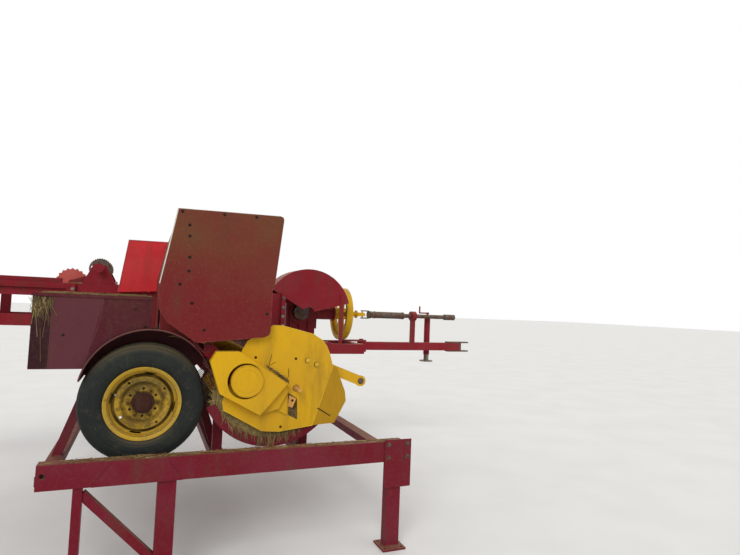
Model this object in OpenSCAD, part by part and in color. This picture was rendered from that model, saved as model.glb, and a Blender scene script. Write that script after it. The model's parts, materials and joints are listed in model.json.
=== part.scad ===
/* [Stance] */
// Height of the right wheel's centre above the floor
axle_z = 960; // [950:5:1000]
// Clearance of a shaft in its bore
run_gap = 0.06; // [0.03:0.01:0.09]
// Clearance between a resting piece and its seat
seat_gap = 0.3; // [0.2:0.1:0.5]

/* [Wheels] */
// Outer radius of the right tyre
tyre_r = 343; // [335:1:346]
// Width of the right tyre
tyre_w = 241; // [225:1:245]
// Outer radius of the left tyre
left_tyre_r = 380; // [370:1:395]
// Width of the left tyre
left_tyre_w = 300; // [285:1:305]
// Radius of the rim flange
flange_r = 208; // [206:1:212]
// Radius of the bead seat
seat_r = 188; // [184:1:190]
// Radius of the wheel spindle
spindle_r = 25; // [20:1:30]
// Radius of the wheel bolt circle
bolt_circle_r = 78; // [76:1:84]

/* [Bale case] */
// Inside width of the bale chamber
chamber_w = 457; // [440:1:470]
// Inside height of the bale chamber
chamber_h = 356; // [345:1:370]
// Thickness of the case walls
wall = 6; // [5:1:8]
// Height of the chamber floor above the right wheel's centre
chamber_rise = 340; // [335:1:350]
// Distance of the chamber's right side from the right rim's face
chamber_y = 1850; // [1840:5:1870]
// Distance of the case's rear end behind the axle
case_rear = 1750; // [1650:10:1850]
// Distance of the case's front end ahead of the axle
case_front = 1250; // [1240:5:1280]
// Length of the bale chute
chute_len = 830; // [700:10:900]

/* [Crank and plunger] */
// Radius of the crank
crank_r = 381; // [370:1:385]
// Angle of the crank above level
crank_angle = 60; // [50:1:70]
// Length of the connecting rod
rod_len = 900; // [890:5:930]
// Distance of the crank's centre ahead of the axle
crank_x = 1500; // [1495:5:1520]
// Radius of the flywheel
flywheel_r = 285; // [260:5:288]

/* [Pickup] */
// Distance of the reel's centre ahead of the axle
reel_x = 585; // [584:1:592]
// Height of the reel's centre above the right wheel's centre
reel_rise = 120; // [116:1:124]
// Radius at the tine tips
tip_r = 218; // [205:1:219]
// Radius of the tine bar circle
bar_circle_r = 112; // [105:1:118]
// Distance between tines along a bar
tine_pitch = 72; // [66:1:90]
// Radius of a tine
tine_r = 3; // [2.5:0.5:4]
// Width of a stripper band
band_w = 44; // [36:1:48]
// Outer radius of the stripper bands
band_r = 168; // [160:1:172]

/* [Twine box] */
// Length of the twine box
box_len = 600; // [560:10:620]
// Height of the twine box
box_h = 409; // [400:1:420]
// Depth of the twine box
box_depth = 610; // [500:10:640]
// Thickness of the twine box sheet
box_wall = 3; // [2:0.5:4]

/* [Drawbar] */
// Distance of the drawbar's pivot ahead of the axle
pivot_x = 2250; // [2240:5:2280]
// Distance of the hitch pin ahead of the axle
hitch_x = 3640; // [3600:10:3700]
// Radius of the hitch pin hole
hitch_r = 16; // [13:1:18]
// Side of the square tongue tube
tongue_w = 90; // [80:5:100]
// Radius of the front shaft's splined bore
pto_r = 17.5; // [16:0.5:20]

/* [Stand] */
// Height of a stand beam
beam_h = 130; // [120:5:140]
// Width of a stand beam
beam_w = 80; // [70:5:90]
// Distance of the beam's top below the right wheel's centre
beam_drop = 272; // [265:1:280]
// Radius of the pan under the pickup
pan_r = 450; // [446:1:455]
// Radius of an anchor hole in a foot
anchor_r = 9; // [7:1:11]
// Radius of the eye at the rear end of a beam
eye_r = 15; // [12:1:17]

/* [Hidden] */
$fn = 48;

// Axle centres: columns are rim centre Y, height, tyre radius, tyre width,
// half the rim width and the side that faces outwards
rim_half = 107.5;
left_rim_half = 128;
left_axle_z = axle_z - tyre_r + left_tyre_r;
case_y0 = chamber_y;
case_y1 = chamber_y + chamber_w;
case_mid = (case_y0 + case_y1) / 2;
left_arm_y = case_y1 + wall + 107;
left_rim_y = left_arm_y + 70 + left_tyre_w / 2;
WHEELS = [[rim_half, axle_z, tyre_r, tyre_w, rim_half, -1],
    [left_rim_y, left_axle_z, left_tyre_r, left_tyre_w, left_rim_half, 1]];

floor_z = axle_z + chamber_rise;
top_z = floor_z + chamber_h;
mid_z = floor_z + chamber_h / 2;
feed_x0 = 80;
feed_x1 = 660;
needle_x = -420;
meter_x = -640;
meter_r = 130;
top_front = 700;

// The axle beam hangs under the case floor and the main rails hang under the axle beam
axle_h = 120;
axle_top = floor_z - wall;
axle_bottom = axle_top - axle_h;
rail_h = 100;
rail_w = 60;
rail_y0 = case_y0 - 10 - rail_w;
rail_y1 = case_y1 + wall;
rail_front = pivot_x - 150;
shaft_y = case_mid + 160;
drop_y = 262;
tube_t = 8;

reel_z = axle_z + reel_rise;
lift_x = 350;
lift_z = axle_z + 302;
reel_y0 = 84;
reel_y1 = 1690;
band_count = floor((reel_y1 - reel_y0 - 60) / tine_pitch);
pan_x = 760;
pan_z = axle_z + 150;

deck_z = axle_z + 372;
deck_y0 = 60;

// Pins that carry the pickup: columns are the bracket's Y, the pin's near end and its far end
LIFT_PINS = [[reel_y0 - 4, reel_y0 - 22, reel_y0 + 8], [reel_y1 - 8, reel_y1 + 4, reel_y1 + 22]];
hood_t = 3;
deck_t = 4;
beam_top = axle_z - beam_drop;
beam_y0 = -50 - beam_w;
far_beam_y0 = left_rim_y + left_tyre_w / 2 + 40;
stand_rear = -480;
stand_front = 1610;
cross_w = 80;
cross_h = 54;

// The overall box, whose bottom centre is the origin
rear_x = -case_rear - 10 - chute_len;
front_x = hitch_x + 42;
foot_w = 160;
right_y = beam_y0 + beam_w / 2 - foot_w / 2;
left_y = far_beam_y0 + beam_w / 2 + foot_w / 2;
origin_x = (rear_x + front_x) / 2;
origin_y = (right_y + left_y) / 2;

maroon = "#7a1c2a";
red = "#a01c28";
yellow = "#e0ac1c";
steel = "#6b6a66";
dark = "#2b2f2c";

// Moves a piece from the right wheel's frame to the part's own frame
module place() translate([-origin_x, -origin_y, 0]) children();

// A box between two corners
module block(x, y, z) {
    translate([x[0], y[0], z[0]]) cube([x[1] - x[0], y[1] - y[0], z[1] - z[0]]);
}

module rod_x(x0, x1, y, z, r) translate([x0, y, z]) rotate([0, 90, 0]) cylinder(r = r, h = x1 - x0);

module rod_y(x, y0, y1, z, r) translate([x, y0, z]) rotate([-90, 0, 0]) cylinder(r = r, h = y1 - y0);

module rod_z(x, y, z0, z1, r) translate([x, y, z0]) cylinder(r = r, h = z1 - z0);

// Extrudes a side view, whose points are forward and up, between two widths
module side(y0, y1) translate([0, y1, 0]) rotate([90, 0, 0]) linear_extrude(y1 - y0) children();

// A flat bar in a side view from one point to another
module bar(p, q, w) {
    len = norm(q - p);
    translate(p) rotate(atan2(q[1] - p[1], q[0] - p[0])) translate([0, -w / 2]) square([len, w]);
}

// The unit normal on the left of a line from a to b, and the mitre of two normals
function left_of(a, b) = [a[1] - b[1], b[0] - a[0]] / norm(b - a);
function mitre(n0, n1) = (n0 + n1) / (1 + n0 * n1);

// The points of a path moved to its left by d, with mitred corners
function shifted(pts, d, closed = false) = let (n = len(pts)) [for (i = [0 : n - 1])
    let (a = closed ? (i + n - 1) % n : max(i - 1, 0), b = closed ? (i + 1) % n : min(i + 1, n - 1))
    pts[i] + d * mitre(a == i ? left_of(pts[i], pts[b]) : left_of(pts[a], pts[i]),
        b == i ? left_of(pts[a], pts[i]) : left_of(pts[i], pts[b]))];
function reversed(pts) = [for (i = [len(pts) - 1 : -1 : 0]) pts[i]];

// A folded sheet in side view between two distances to the left of a path
module sheet(pts, left, right) polygon(concat(shifted(pts, left), reversed(shifted(pts, right))));

// The flange of a closed outline that runs clockwise
module flange(pts, t) difference() {
    polygon(pts);
    polygon(shifted(pts, -t, true));
}

// A side view's points are given from the right wheel's centre
function up(pts) = [for (p = pts) [p[0], p[1] + axle_z]];

// A sector of a circle, for cutting
module sector(r, a0, a1) {
    n = 8;
    polygon(concat([[0, 0]], [for (i = [0 : n]) let (a = a0 + (a1 - a0) * i / n)
        [2 * r * cos(a), 2 * r * sin(a)]]));
}

// A curved strip between two radii and two angles
module arc_strip(r0, r1, a0, a1) {
    intersection() {
        difference() {
            circle(r = r1, $fn = 96);
            circle(r = r0, $fn = 96);
        }
        sector(r1, a0, a1);
    }
}

// Wheels

module on_wheel(i) {
    w = WHEELS[i];
    translate([0, w[0], w[1]]) rotate([-90 * w[5], 0, 0]) children();
}

// A tyre bead: columns are the distance out from the seat and in from the rim's edge
bead = [[18, 7.5], [0, 11.5], [0, 46], [6, 67.5]];

// The tyre's section is a squared oval with grooves round the crown
module tyre(i) {
    w = WHEELS[i];
    r_in = seat_r + seat_gap;
    mid = (w[2] + r_in) / 2;
    half = (w[2] - r_in) / 2;
    power = 2 / 2.7;
    difference() {
        rotate_extrude($fn = 96) polygon(concat([for (a = [-37.5 : 15 : 217.5])
            [mid + half * sign(sin(a)) * pow(abs(sin(a)), power) / pow(sin(82.5), power),
             w[3] / 2 * sign(cos(a)) * pow(abs(cos(a)), power) / pow(cos(7.5), power)]],
            [for (p = bead) [r_in + p[0], p[1] - w[4]]],
            [for (p = reversed(bead)) [r_in + p[0], w[4] - p[1]]]));
        for (g = [-0.27, -0.09, 0.09, 0.27]) translate([0, 0, g * w[3] - 4]) difference() {
            cylinder(r = w[2] + 5, h = 8, $fn = 96);
            translate([0, 0, -1]) cylinder(r = w[2] - 7, h = 10, $fn = 96);
        }
    }
}

// The rim is a rolled section with a dished disc towards the outer side
disc_t = 8;
hub_r = 61;

module rim(i) {
    w = WHEELS[i];
    h = w[4];
    disc_z = h - 34;
    difference() {
        union() {
            rotate_extrude($fn = 96) polygon([[flange_r, -h], [flange_r, -h + 6], [seat_r, -h + 11],
                [seat_r, -42], [seat_r - 22, -28], [seat_r - 22, 28], [seat_r, 42], [seat_r, h - 11],
                [flange_r, h - 6], [flange_r, h], [flange_r - 6, h], [seat_r - 6, h - 11],
                [seat_r - 6, 46], [seat_r - 28, 32], [seat_r - 28, -32], [seat_r - 6, -46],
                [seat_r - 6, -h + 11], [flange_r - 6, -h]]);
            rotate_extrude($fn = 96) polygon([[hub_r + 1, disc_z - 22], [106, disc_z - 22],
                [124, disc_z], [150, disc_z], [168, disc_z - 14], [seat_r - 5, disc_z - 14],
                [seat_r - 5, disc_z - 14 - disc_t], [164, disc_z - 14 - disc_t], [146, disc_z - disc_t],
                [128, disc_z - disc_t], [110, disc_z - 22 - disc_t], [hub_r + 1, disc_z - 22 - disc_t]]);
        }
        for (a = [30 : 60 : 330]) rotate(a) translate([bolt_circle_r, 0, disc_z - 60])
            cylinder(r = 8, h = 80, $fn = 24);
        for (a = [0 : 60 : 300]) rotate(a) translate([bolt_circle_r, 0, disc_z - 60])
            cylinder(r = 10.5, h = 80, $fn = 24);
        for (a = [35 : 90 : 305]) rotate(a) translate([137, 0, disc_z - 60])
            cylinder(r = 8, h = 80, $fn = 24);
        for (a = [80 : 90 : 350]) rotate(a) translate([seat_r + 40, 0, disc_z - 40])
            difference() {
                cylinder(r = 66, h = 60);
                translate([-86, 0, -1]) difference() {
                    cylinder(r = 200, h = 62, $fn = 96);
                    translate([-228 + 86, 0, -1]) cylinder(r = seat_r - 5, h = 64, $fn = 96);
                }
            }
    }
}

// The hub runs on the spindle and carries the wheel studs
module hub(i) {
    w = WHEELS[i];
    disc_z = w[4] - 34;
    base = disc_z - 22 - disc_t;
    difference() {
        union() {
            translate([0, 0, base - 64]) cylinder(r = 46, h = 64);
            translate([0, 0, base - seat_gap - 12]) cylinder(r = 100, h = 12);
            translate([0, 0, base - 2]) cylinder(r = hub_r - 1, h = 34);
            translate([0, 0, base + 32]) cylinder(r = 42, h = 12);
            for (a = [0 : 60 : 300]) rotate(a) translate([bolt_circle_r, 0, base - 2]) {
                cylinder(r = 7, h = 36, $fn = 24);
                translate([0, 0, 2 + disc_t + seat_gap]) cylinder(r = 13, h = 14, $fn = 6);
            }
        }
        translate([0, 0, base - 70]) cylinder(r = spindle_r + run_gap, h = 90);
    }
}

module tyre_right() color(dark) place() on_wheel(0) tyre(0);
module rim_right() color(yellow) place() on_wheel(0) rim(0);
module hub_right() color(red) place() on_wheel(0) hub(0);
module tyre_left() color(dark) place() on_wheel(1) tyre(1);
module rim_left() color(yellow) place() on_wheel(1) rim(1);
module hub_left() color(red) place() on_wheel(1) hub(1);

// Frame

// A square beam across, with an arm down to each spindle
module axle_beam() color(red) place() {
    base = rim_half - 34 - 22 - disc_t;
    left_base = left_rim_half - 34 - 22 - disc_t;
    difference() {
        block([-60, 60], [drop_y, left_arm_y + 60], [axle_bottom, axle_top]);
        block([-60 + tube_t, 60 - tube_t], [drop_y + tube_t, left_arm_y + 60 - tube_t],
            [axle_bottom + tube_t, axle_top - tube_t]);
    }
    block([-50, 50], [drop_y, drop_y + 60], [axle_z - 60, axle_bottom + 1]);
    block([-50, 50], [left_arm_y, left_arm_y + 60], [left_axle_z - 60, axle_bottom + 1]);
    rod_y(0, rim_half - base - 19, drop_y + 1, axle_z, spindle_r);
    rod_y(0, left_arm_y + 59, left_rim_y + left_base + 19, left_axle_z, spindle_r);
}

rail_posts = [-620, 760, 1200];
pivot_plate_t = 16;

// Two rails under the case, tied by cross members, with the drawbar's pivot plates in front
module main_frame() color(red) place() difference() {
    union() {
        for (y = [rail_y0, rail_y1]) {
            block([-640, rail_front], [y, y + rail_w], [axle_bottom - rail_h, axle_bottom]);
            for (x = rail_posts) block([x, x + 50], [y, y + rail_w], [axle_bottom - 1, axle_top]);
        }
        for (x = [-640, 640, 1120]) block([x, x + 50], [rail_y0 + 1, rail_y1 + 1],
            [axle_bottom - rail_h, axle_bottom - rail_h + 60]);
        for (x = rail_posts) block([x, x + 50], [rail_y0 + 1, rail_y1 + 1], [axle_top - 40, axle_top]);
        block([rail_front - 60, rail_front], [rail_y0, rail_y1 + rail_w],
            [axle_bottom - rail_h, axle_bottom]);
        for (z = [axle_bottom, axle_bottom - rail_h - pivot_plate_t]) {
            block([rail_front - 60, pivot_x], [shaft_y - 60, shaft_y + 60], [z, z + pivot_plate_t]);
            rod_z(pivot_x, shaft_y, z, z + pivot_plate_t, 60);
        }
        rod_z(pivot_x, shaft_y, axle_bottom - rail_h - pivot_plate_t - 12,
            axle_bottom + pivot_plate_t + 12, 24);
    }
    for (x = [300, 900, 1400]) rod_y(x, rail_y0 - 1, rail_y1 + rail_w + 1, axle_bottom - 50, 18);
}

// Bale case

rib_xs = [-case_rear, -1190, -620, 760, case_front - 40];
twine_ys = [case_mid - 115, case_mid + 115];

// One side wall in side view, with the windows of the rear stretch
module case_wall() {
    difference() {
        translate([-case_rear, floor_z - wall])
            square([case_rear + case_front, chamber_h + 2 * wall]);
        for (x = [[-case_rear + 60, -1210], [-1130, -680]])
            translate([x[0], floor_z + 92]) square([x[1] - x[0], chamber_h - 200]);
    }
}

module bale_case() color(red) place() {
    side(case_y0 - wall, case_y0) difference() {
        case_wall();
        translate([feed_x0, deck_z]) square([feed_x1 - feed_x0, top_z - 12 - deck_z]);
    }
    side(case_y1, case_y1 + wall) case_wall();
    difference() {
        block([-case_rear, case_front], [case_y0 - 1, case_y1 + 1], [floor_z - wall, floor_z]);
        for (y = twine_ys) block([needle_x - 60, needle_x + 30], [y - 16, y + 16],
            [floor_z - 20, floor_z + 20]);
    }
    difference() {
        block([meter_x - 60, top_front], [case_y0 - 1, case_y1 + 1], [top_z, top_z + wall]);
        for (y = twine_ys) block([needle_x - 60, needle_x + 70], [y - 20, y + 20],
            [top_z - 20, top_z + 20]);
        for (slot = [[150, 20], [50, 34]]) block([meter_x - 200, meter_x + slot[0]],
            [case_mid - slot[1], case_mid + slot[1]], [top_z - 20, top_z + 20]);
    }
    for (x = rib_xs) {
        block([x, x + 40], [case_y0 - wall - 28, case_y0 - wall + 1], [axle_top, top_z + wall]);
        block([x, x + 40], [case_y1 + wall - 1, case_y1 + wall + 28], [axle_top, top_z + wall]);
    }
    for (y = [case_y0 - wall - 28, case_y1 + wall - 1])
        block([-case_rear, meter_x - 20], [y, y + 29], [top_z - 40, top_z - 34]);
    block([-case_rear, -case_rear + 40], [case_y0 - wall - 28, case_y1 + wall + 28],
        [axle_top - 34, axle_top]);
    for (y = [case_y0 + 40, case_y1 - 90]) difference() {
        block([-case_rear - 40, -case_rear + 1], [y, y + 50], [axle_top - 34, axle_top]);
        rod_y(-case_rear - 20, y - 1, y + 51, axle_top - 17, 10 + run_gap);
    }
}

// Two rails squeeze the bale from above and are tied by cross channels
spring_xs = [-1480];

module tension_rails() color(red) place() {
    for (y = [case_y0 + 60, case_y1 - 130]) {
        block([-case_rear + 10, meter_x - 66], [y, y + 70], [top_z, top_z + 8]);
        block([-case_rear + 10, meter_x - 66], [y, y + 8], [top_z + 7, top_z + 48]);
        block([-case_rear + 10, meter_x - 66], [y + 62, y + 70], [top_z + 7, top_z + 48]);
        block([meter_x - 67, meter_x - 60 - seat_gap], [y, y + 70], [top_z, top_z + 48]);
    }
    for (x = spring_xs) {
        difference() {
            block([x - 35, x + 35], [case_y0 - 110, case_y1 + 110], [top_z + 47, top_z + 87]);
            for (y = [case_y0 - 75, case_y1 + 75]) rod_z(x, y, top_z + 40, top_z + 90, 14);
        }
        difference() {
            block([x - 35, x + 35], [case_y0 - 110, case_y1 + 110], [axle_top - 40, axle_top]);
            for (y = [case_y0 - 75, case_y1 + 75]) rod_z(x, y, axle_top - 50, axle_top + 1, 13);
        }
    }
}

// A long bolt, a spring drawn as close rings, and a crank handle on each side
module tension_springs() color(steel) place() {
    coils = 9;
    wire = 7;
    for (x = spring_xs) for (y = [case_y0 - 75, case_y1 + 75]) translate([x, y, 0]) {
        rod_z(0, 0, axle_top - 70, top_z + 350, 12);
        translate([0, 0, axle_top - 64]) cylinder(r = 24, h = 24 - seat_gap, $fn = 6);
        translate([0, 0, top_z + 87 + seat_gap]) cylinder(r = 34, h = 8);
        for (k = [0 : coils - 1]) translate([0, 0, top_z + 103 + k * 19])
            rotate_extrude() translate([26, 0]) circle(r = wire, $fn = 16);
        translate([0, 0, top_z + 94]) cylinder(r = 20, h = 175);
        translate([0, 0, top_z + 268]) cylinder(r = 34, h = 8);
        translate([0, 0, top_z + 275]) cylinder(r = 22, h = 30, $fn = 6);
        translate([-90, 0, top_z + 330]) rotate([0, 90, 0]) cylinder(r = 8, h = 180);
    }
}

// Toothed wheel that measures the bale's length
module toothed(r, teeth, depth) {
    polygon([for (i = [0 : 2 * teeth - 1]) let (q = i % 2 == 0 ? r : r - depth, a = 180 * i / teeth)
        [q * cos(a), q * sin(a)]]);
}

meter_z = top_z + 20;

module metering_wheel() color(red) place() translate([meter_x, case_mid, meter_z])
    rotate([90, 0, 0]) difference() {
        union() {
            translate([0, 0, -4]) linear_extrude(8) toothed(meter_r, 20, 14);
            translate([0, 0, -16]) cylinder(r = 24, h = 32);
        }
        translate([0, 0, -17]) cylinder(r = 10 + run_gap, h = 34);
    }

// The knotters' frame, their shaft and the arms of the metering wheel
knot_z = top_z + 150;

module knotter_frame() color(maroon) place() {
    for (y = [case_y0 + 20, case_y1 - 30]) side(y, y + 10) polygon([[needle_x - 120, top_z + wall],
        [needle_x + 150, top_z + wall], [needle_x + 60, knot_z + 30], [needle_x - 40, knot_z + 30]]);
    block([needle_x + 100, needle_x + 140], [case_y0 + 20, case_y1 - 20], [top_z + wall, top_z + 46]);
    rod_y(needle_x + 10, case_y0 - 40, case_y1 + 20, knot_z, 15);
    rod_y(needle_x + 10, case_y0 - 60, case_y0 - 39, knot_z, 40);
    for (y = [case_mid - 30, case_mid + 22]) {
        side(y, y + 8) difference() {
            union() {
                bar([meter_x, meter_z], [needle_x - 110, top_z + 60], 40);
                translate([meter_x, meter_z]) circle(r = 24);
                translate([needle_x - 120, top_z + wall]) square([30, 74]);
            }
        }
    }
    rod_y(meter_x, case_mid - 36, case_mid + 36, meter_z, 10);
}

// Each knotter: cam gear, casting, twine disc and bill hook
module knotters() color(steel) place() for (y = twine_ys) {
    side(y - 9, y + 9) translate([needle_x + 10, knot_z]) difference() {
        toothed(96, 30, 8);
        circle(r = 15);
        rotate(200) translate([0, 60]) circle(r = 22);
        rotate(80) translate([0, 60]) circle(r = 18);
    }
    side(y + 12, y + 44) difference() {
        union() {
            translate([needle_x + 10, knot_z]) circle(r = 34);
            bar([needle_x + 10, knot_z - 6], [needle_x - 78, top_z + 66], 44);
            bar([needle_x - 92, top_z + 90], [needle_x - 48, top_z + 30], 30);
        }
        translate([needle_x + 10, knot_z]) circle(r = 15);
    }
    rod_y(needle_x - 50, y - 26, y + 13, top_z + 62, 34);
    rod_y(needle_x - 50, y - 40, y - 25, top_z + 62, 12);
    rod_z(needle_x - 74, y + 28, top_z + 12, top_z + 40, 7);
    block([needle_x - 110, needle_x - 72], [y + 21, y + 35], [top_z + 12, top_z + 22]);
}

// Two curved needles on a yoke that hangs from pivots beside the case
yoke_x = -120;
yoke_r = 330;
yoke_z = floor_z - 10;
yoke_ys = [rail_y0 - 26, rail_y1 + rail_w + 6];

module needle_yoke() color(steel) place() {
    for (y = twine_ys) side(y - 8, y + 8) translate([yoke_x, yoke_z]) {
        arc_strip(yoke_r - 14, yoke_r + 14, 192, 272);
        rotate(192) translate([yoke_r, 0]) circle(r = 9);
    }
    rod_y(yoke_x - 4, yoke_ys[0], yoke_ys[1] + 18, yoke_z - yoke_r, 23);
    for (y = yoke_ys) side(y, y + 18) difference() {
        union() {
            bar([yoke_x, yoke_z], [yoke_x - 4, yoke_z - yoke_r], 40);
            translate([yoke_x, yoke_z]) circle(r = 30);
        }
        translate([yoke_x, yoke_z]) circle(r = 12);
    }
    rod_y(yoke_x, yoke_ys[0] - 8, case_y0 - wall, yoke_z, 12);
    rod_y(yoke_x, case_y1 + wall, yoke_ys[1] + 26, yoke_z, 12);
}

// Plunger, rod and crank: the wrist pin follows the crank's angle
pin_x = crank_x + crank_r * cos(crank_angle);
pin_z = mid_z + crank_r * sin(crank_angle);
wrist_x = pin_x - sqrt(rod_len * rod_len - pow(crank_r * sin(crank_angle), 2));
plunger_front = wrist_x + 260;
plunger_rear = wrist_x - 300;
side_play = 7;
rod_y0 = case_mid - 24;

module plunger() color(steel) place() difference() {
    block([plunger_rear, plunger_front], [case_y0 + side_play, case_y1 - side_play],
        [floor_z + seat_gap, top_z - side_play]);
    block([plunger_rear + 24, plunger_front + 1], [case_y0 + 30, case_y1 - 30],
        [floor_z + 30, top_z + 1]);
    for (s = [-1, 1]) block([plunger_rear + 60, plunger_front - 60],
        [case_mid + s * 215 - 30, case_mid + s * 215 + 30], [floor_z + 70, top_z - 70]);
    for (y = twine_ys) block([plunger_rear - 1, plunger_rear + 25], [y - 18, y + 18],
        [floor_z - 1, top_z + 1]);
}

module connecting_rod() color(maroon) place() {
    side(rod_y0, rod_y0 + 48) difference() {
        union() {
            bar([wrist_x, mid_z], [pin_x, pin_z], 70);
            translate([wrist_x, mid_z]) circle(r = 55);
            translate([pin_x, pin_z]) circle(r = 52);
        }
        translate([pin_x, pin_z]) circle(r = 30 + run_gap);
    }
    rod_y(wrist_x, case_y0 + 30 + seat_gap, case_y1 - 30 - seat_gap, mid_z, 22);
}

module crank_arm() color(steel) place() {
    side(rod_y0 + 52, rod_y0 + 84) union() {
        bar([crank_x, mid_z], [pin_x, pin_z], 110);
        translate([crank_x, mid_z]) circle(r = 80);
        translate([pin_x, pin_z]) circle(r = 52);
    }
    rod_y(pin_x, rod_y0 - 16, rod_y0 + 53, pin_z, 30);
    rod_y(pin_x, rod_y0 - 16, rod_y0 - 4, pin_z, 44);
}

gear_y0 = rod_y0 + 100;

// Gearbox: a cast body with an output boss to the crank and a pinion housing in front
module gearbox() color(red) place() difference() {
    union() {
        block([crank_x - 150, crank_x + 190], [gear_y0 + 20, gear_y0 + 190], [mid_z - 170, mid_z + 170]);
        rod_y(crank_x, rod_y0 + 84 + seat_gap, gear_y0 + 4, mid_z, 44);
        rod_y(crank_x, gear_y0, gear_y0 + 210, mid_z, 120);
        rod_x(crank_x + 189, crank_x + 400, shaft_y, mid_z, 70);
        rod_x(crank_x + 380, crank_x + 400, shaft_y, mid_z, 86);
        for (x = [crank_x - 100, crank_x, crank_x + 100]) block([x - 8, x + 8],
            [gear_y0 + 2, gear_y0 + 208], [mid_z - 190, mid_z + 190]);
        block([crank_x - 190, crank_x + 230], [rail_y0, rail_y1 + rail_w], [axle_bottom, axle_bottom + 16]);
        for (y = [gear_y0 + 20, gear_y0 + 170]) block([crank_x - 130, crank_x + 170], [y, y + 20],
            [axle_bottom + 15, mid_z - 160]);
    }
    rod_x(crank_x + 240, crank_x + 401, shaft_y, mid_z, 32 + run_gap);
}

// Rolled hood over the crank's path
module crank_hood() color(red) place() {
    r = crank_r + 60;
    span = [case_y0 - 8, gear_y0 - 12];
    side(span[0], span[1]) translate([crank_x, mid_z]) arc_strip(r, r + 4, 15, 150);
    for (y = [span[0] - 4, span[1]]) side(y, y + 4) difference() {
        translate([crank_x, mid_z]) arc_strip(y < span[1] ? 60 : 130, r + 4, 15, 150);
        translate([case_front - 400, mid_z])
            square([400 + seat_gap, top_z + wall + seat_gap - mid_z]);
    }
    block([crank_x + 330, crank_x + 370], [span[0] - 12, span[0] - 3], [axle_bottom, mid_z + 200]);
}

// Flywheel with spokes, and the rear yoke of the drive shaft's joint
flywheel_x = crank_x + 460;
joint_z = mid_z;

module flywheel() color(yellow) place() translate([flywheel_x, shaft_y, joint_z]) rotate([0, 90, 0]) {
    difference() {
        cylinder(r = flywheel_r, h = 70, $fn = 96);
        translate([0, 0, -1]) cylinder(r = flywheel_r - 46, h = 26, $fn = 96);
        translate([0, 0, 45]) cylinder(r = flywheel_r - 46, h = 26, $fn = 96);
        for (a = [0 : 60 : 300]) rotate(a) translate([150, 0, -1]) cylinder(r = 58, h = 72);
    }
    translate([0, 0, -50]) cylinder(r = 62, h = 136);
    translate([0, 0, crank_x + 250 - flywheel_x]) cylinder(r = 32, h = 180);
    translate([0, 0, 80]) cylinder(r = 26, h = pivot_x - flywheel_x - 80 - 70);
    translate([0, 0, pivot_x - flywheel_x - 85]) cylinder(r = 44, h = 15);
    for (s = [-1, 1]) translate([0, s * 41, pivot_x - flywheel_x - 71]) {
        translate([-20, -6, 0]) cube([40, 12, 71]);
        translate([0, 6, 71]) rotate([90, 0, 0]) cylinder(r = 20, h = 12);
    }
    translate([0, 0, pivot_x - flywheel_x]) {
        rotate([90, 0, 0]) translate([0, 0, -36]) cylinder(r = 9, h = 72);
        rotate([0, 90, 0]) translate([0, 0, -33]) cylinder(r = 9, h = 66);
        translate([-14, -14, -14]) cube(28);
    }
}

// The front shaft: yoke, telescoping tube and the splined bore
bearing_x = 2900;
shaft_end = hitch_x - 250;

module driveline() color(steel) place() translate([pivot_x, shaft_y, joint_z]) rotate([0, 90, 0])
    difference() {
        union() {
            for (s = [-1, 1]) translate([s * 41, 0, 0]) {
                translate([-6, -20, 0]) cube([12, 40, 72]);
                translate([-6, 0, 0]) rotate([0, 90, 0]) cylinder(r = 20, h = 12);
            }
            translate([0, 0, 70]) cylinder(r = 44, h = 15);
            translate([0, 0, 84]) cylinder(r = 38, h = 440);
            translate([0, 0, 523]) cylinder(r = 24, h = shaft_end - pivot_x - 523 - 60);
            translate([0, 0, shaft_end - pivot_x - 61]) cylinder(r = 34, h = 140);
        }
        translate([0, 0, shaft_end - pivot_x]) cylinder(r = pto_r, h = 90);
        for (s = [-1, 1]) translate([s * 41 - 7, 0, 0]) rotate([0, 90, 0]) cylinder(r = 10, h = 14);
    }

// Feeder

// Deck and rear wall of the feeder, with a lip in front
module feeder_pan() color(maroon) place() {
    difference() {
        union() {
            for (part = [[400, panel_y - seat_gap], [290, case_y0 - wall]]) side(deck_y0, part[1])
                sheet([[62, deck_z + part[0]], [62, deck_z - deck_t],
                    [feed_x1 - 12, deck_z - deck_t], [feed_x1 + 10, deck_z - 18]], deck_t, 0);
            side(deck_y0 - 4, deck_y0 + 1) polygon(up([[62, 368], [640, 368], [690, 700], [728, 1106],
                [138, 1088], [66, 765]]));
        }
        side(deck_y0 - 5, drop_y - 14) translate([arch_x, arch_z])
            circle(r = arch_r + 4 + seat_gap, $fn = 128);
    }
    for (p = LIFT_PINS) {
        side(p[0], p[0] + 12) {
            translate([lift_x, lift_z]) circle(r = 22);
            bar([lift_x, lift_z], [lift_x, deck_z - 2], 40);
        }
        rod_y(lift_x, p[1], p[2], lift_z, 14);
    }
    block([62, 112], [drop_y, case_y0 - wall - 30], [axle_top - 16, deck_z - 4]);
    for (y = [drop_y + 20, 900, 1500]) block([110, 560], [y, y + 30], [deck_z - 26, deck_z - 4]);
}

hood_rear = [[64, 773], [128, 1098], [738, 1116], [700, 706]];

module feeder_hood() color(maroon) place() {
    side(deck_y0 + 1 + seat_gap, case_y0 - wall - 40) sheet(up(hood_rear), 0, -hood_t);
    for (y = [deck_y0 + 10, case_y0 - wall - 70]) side(y, y + 20) {
        sheet(up(hood_rear), -1, -20);
        bar([690, axle_z + 716], [650, deck_z + 1 + seat_gap], 16);
    }
    for (y = rotor_ys) {
        rod_x(66, 96, y, rotor_z, 45);
        difference() {
            rod_x(660, 700, y, rotor_z, 45);
            rod_x(650, 710, y, rotor_z, 20 + run_gap);
        }
    }
}

// Two forks turn above the deck and sweep the crop towards the chamber
rotor_ys = [640, 1370];
rotor_r = 318;
rotor_z = deck_z + rotor_r + 30;

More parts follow.
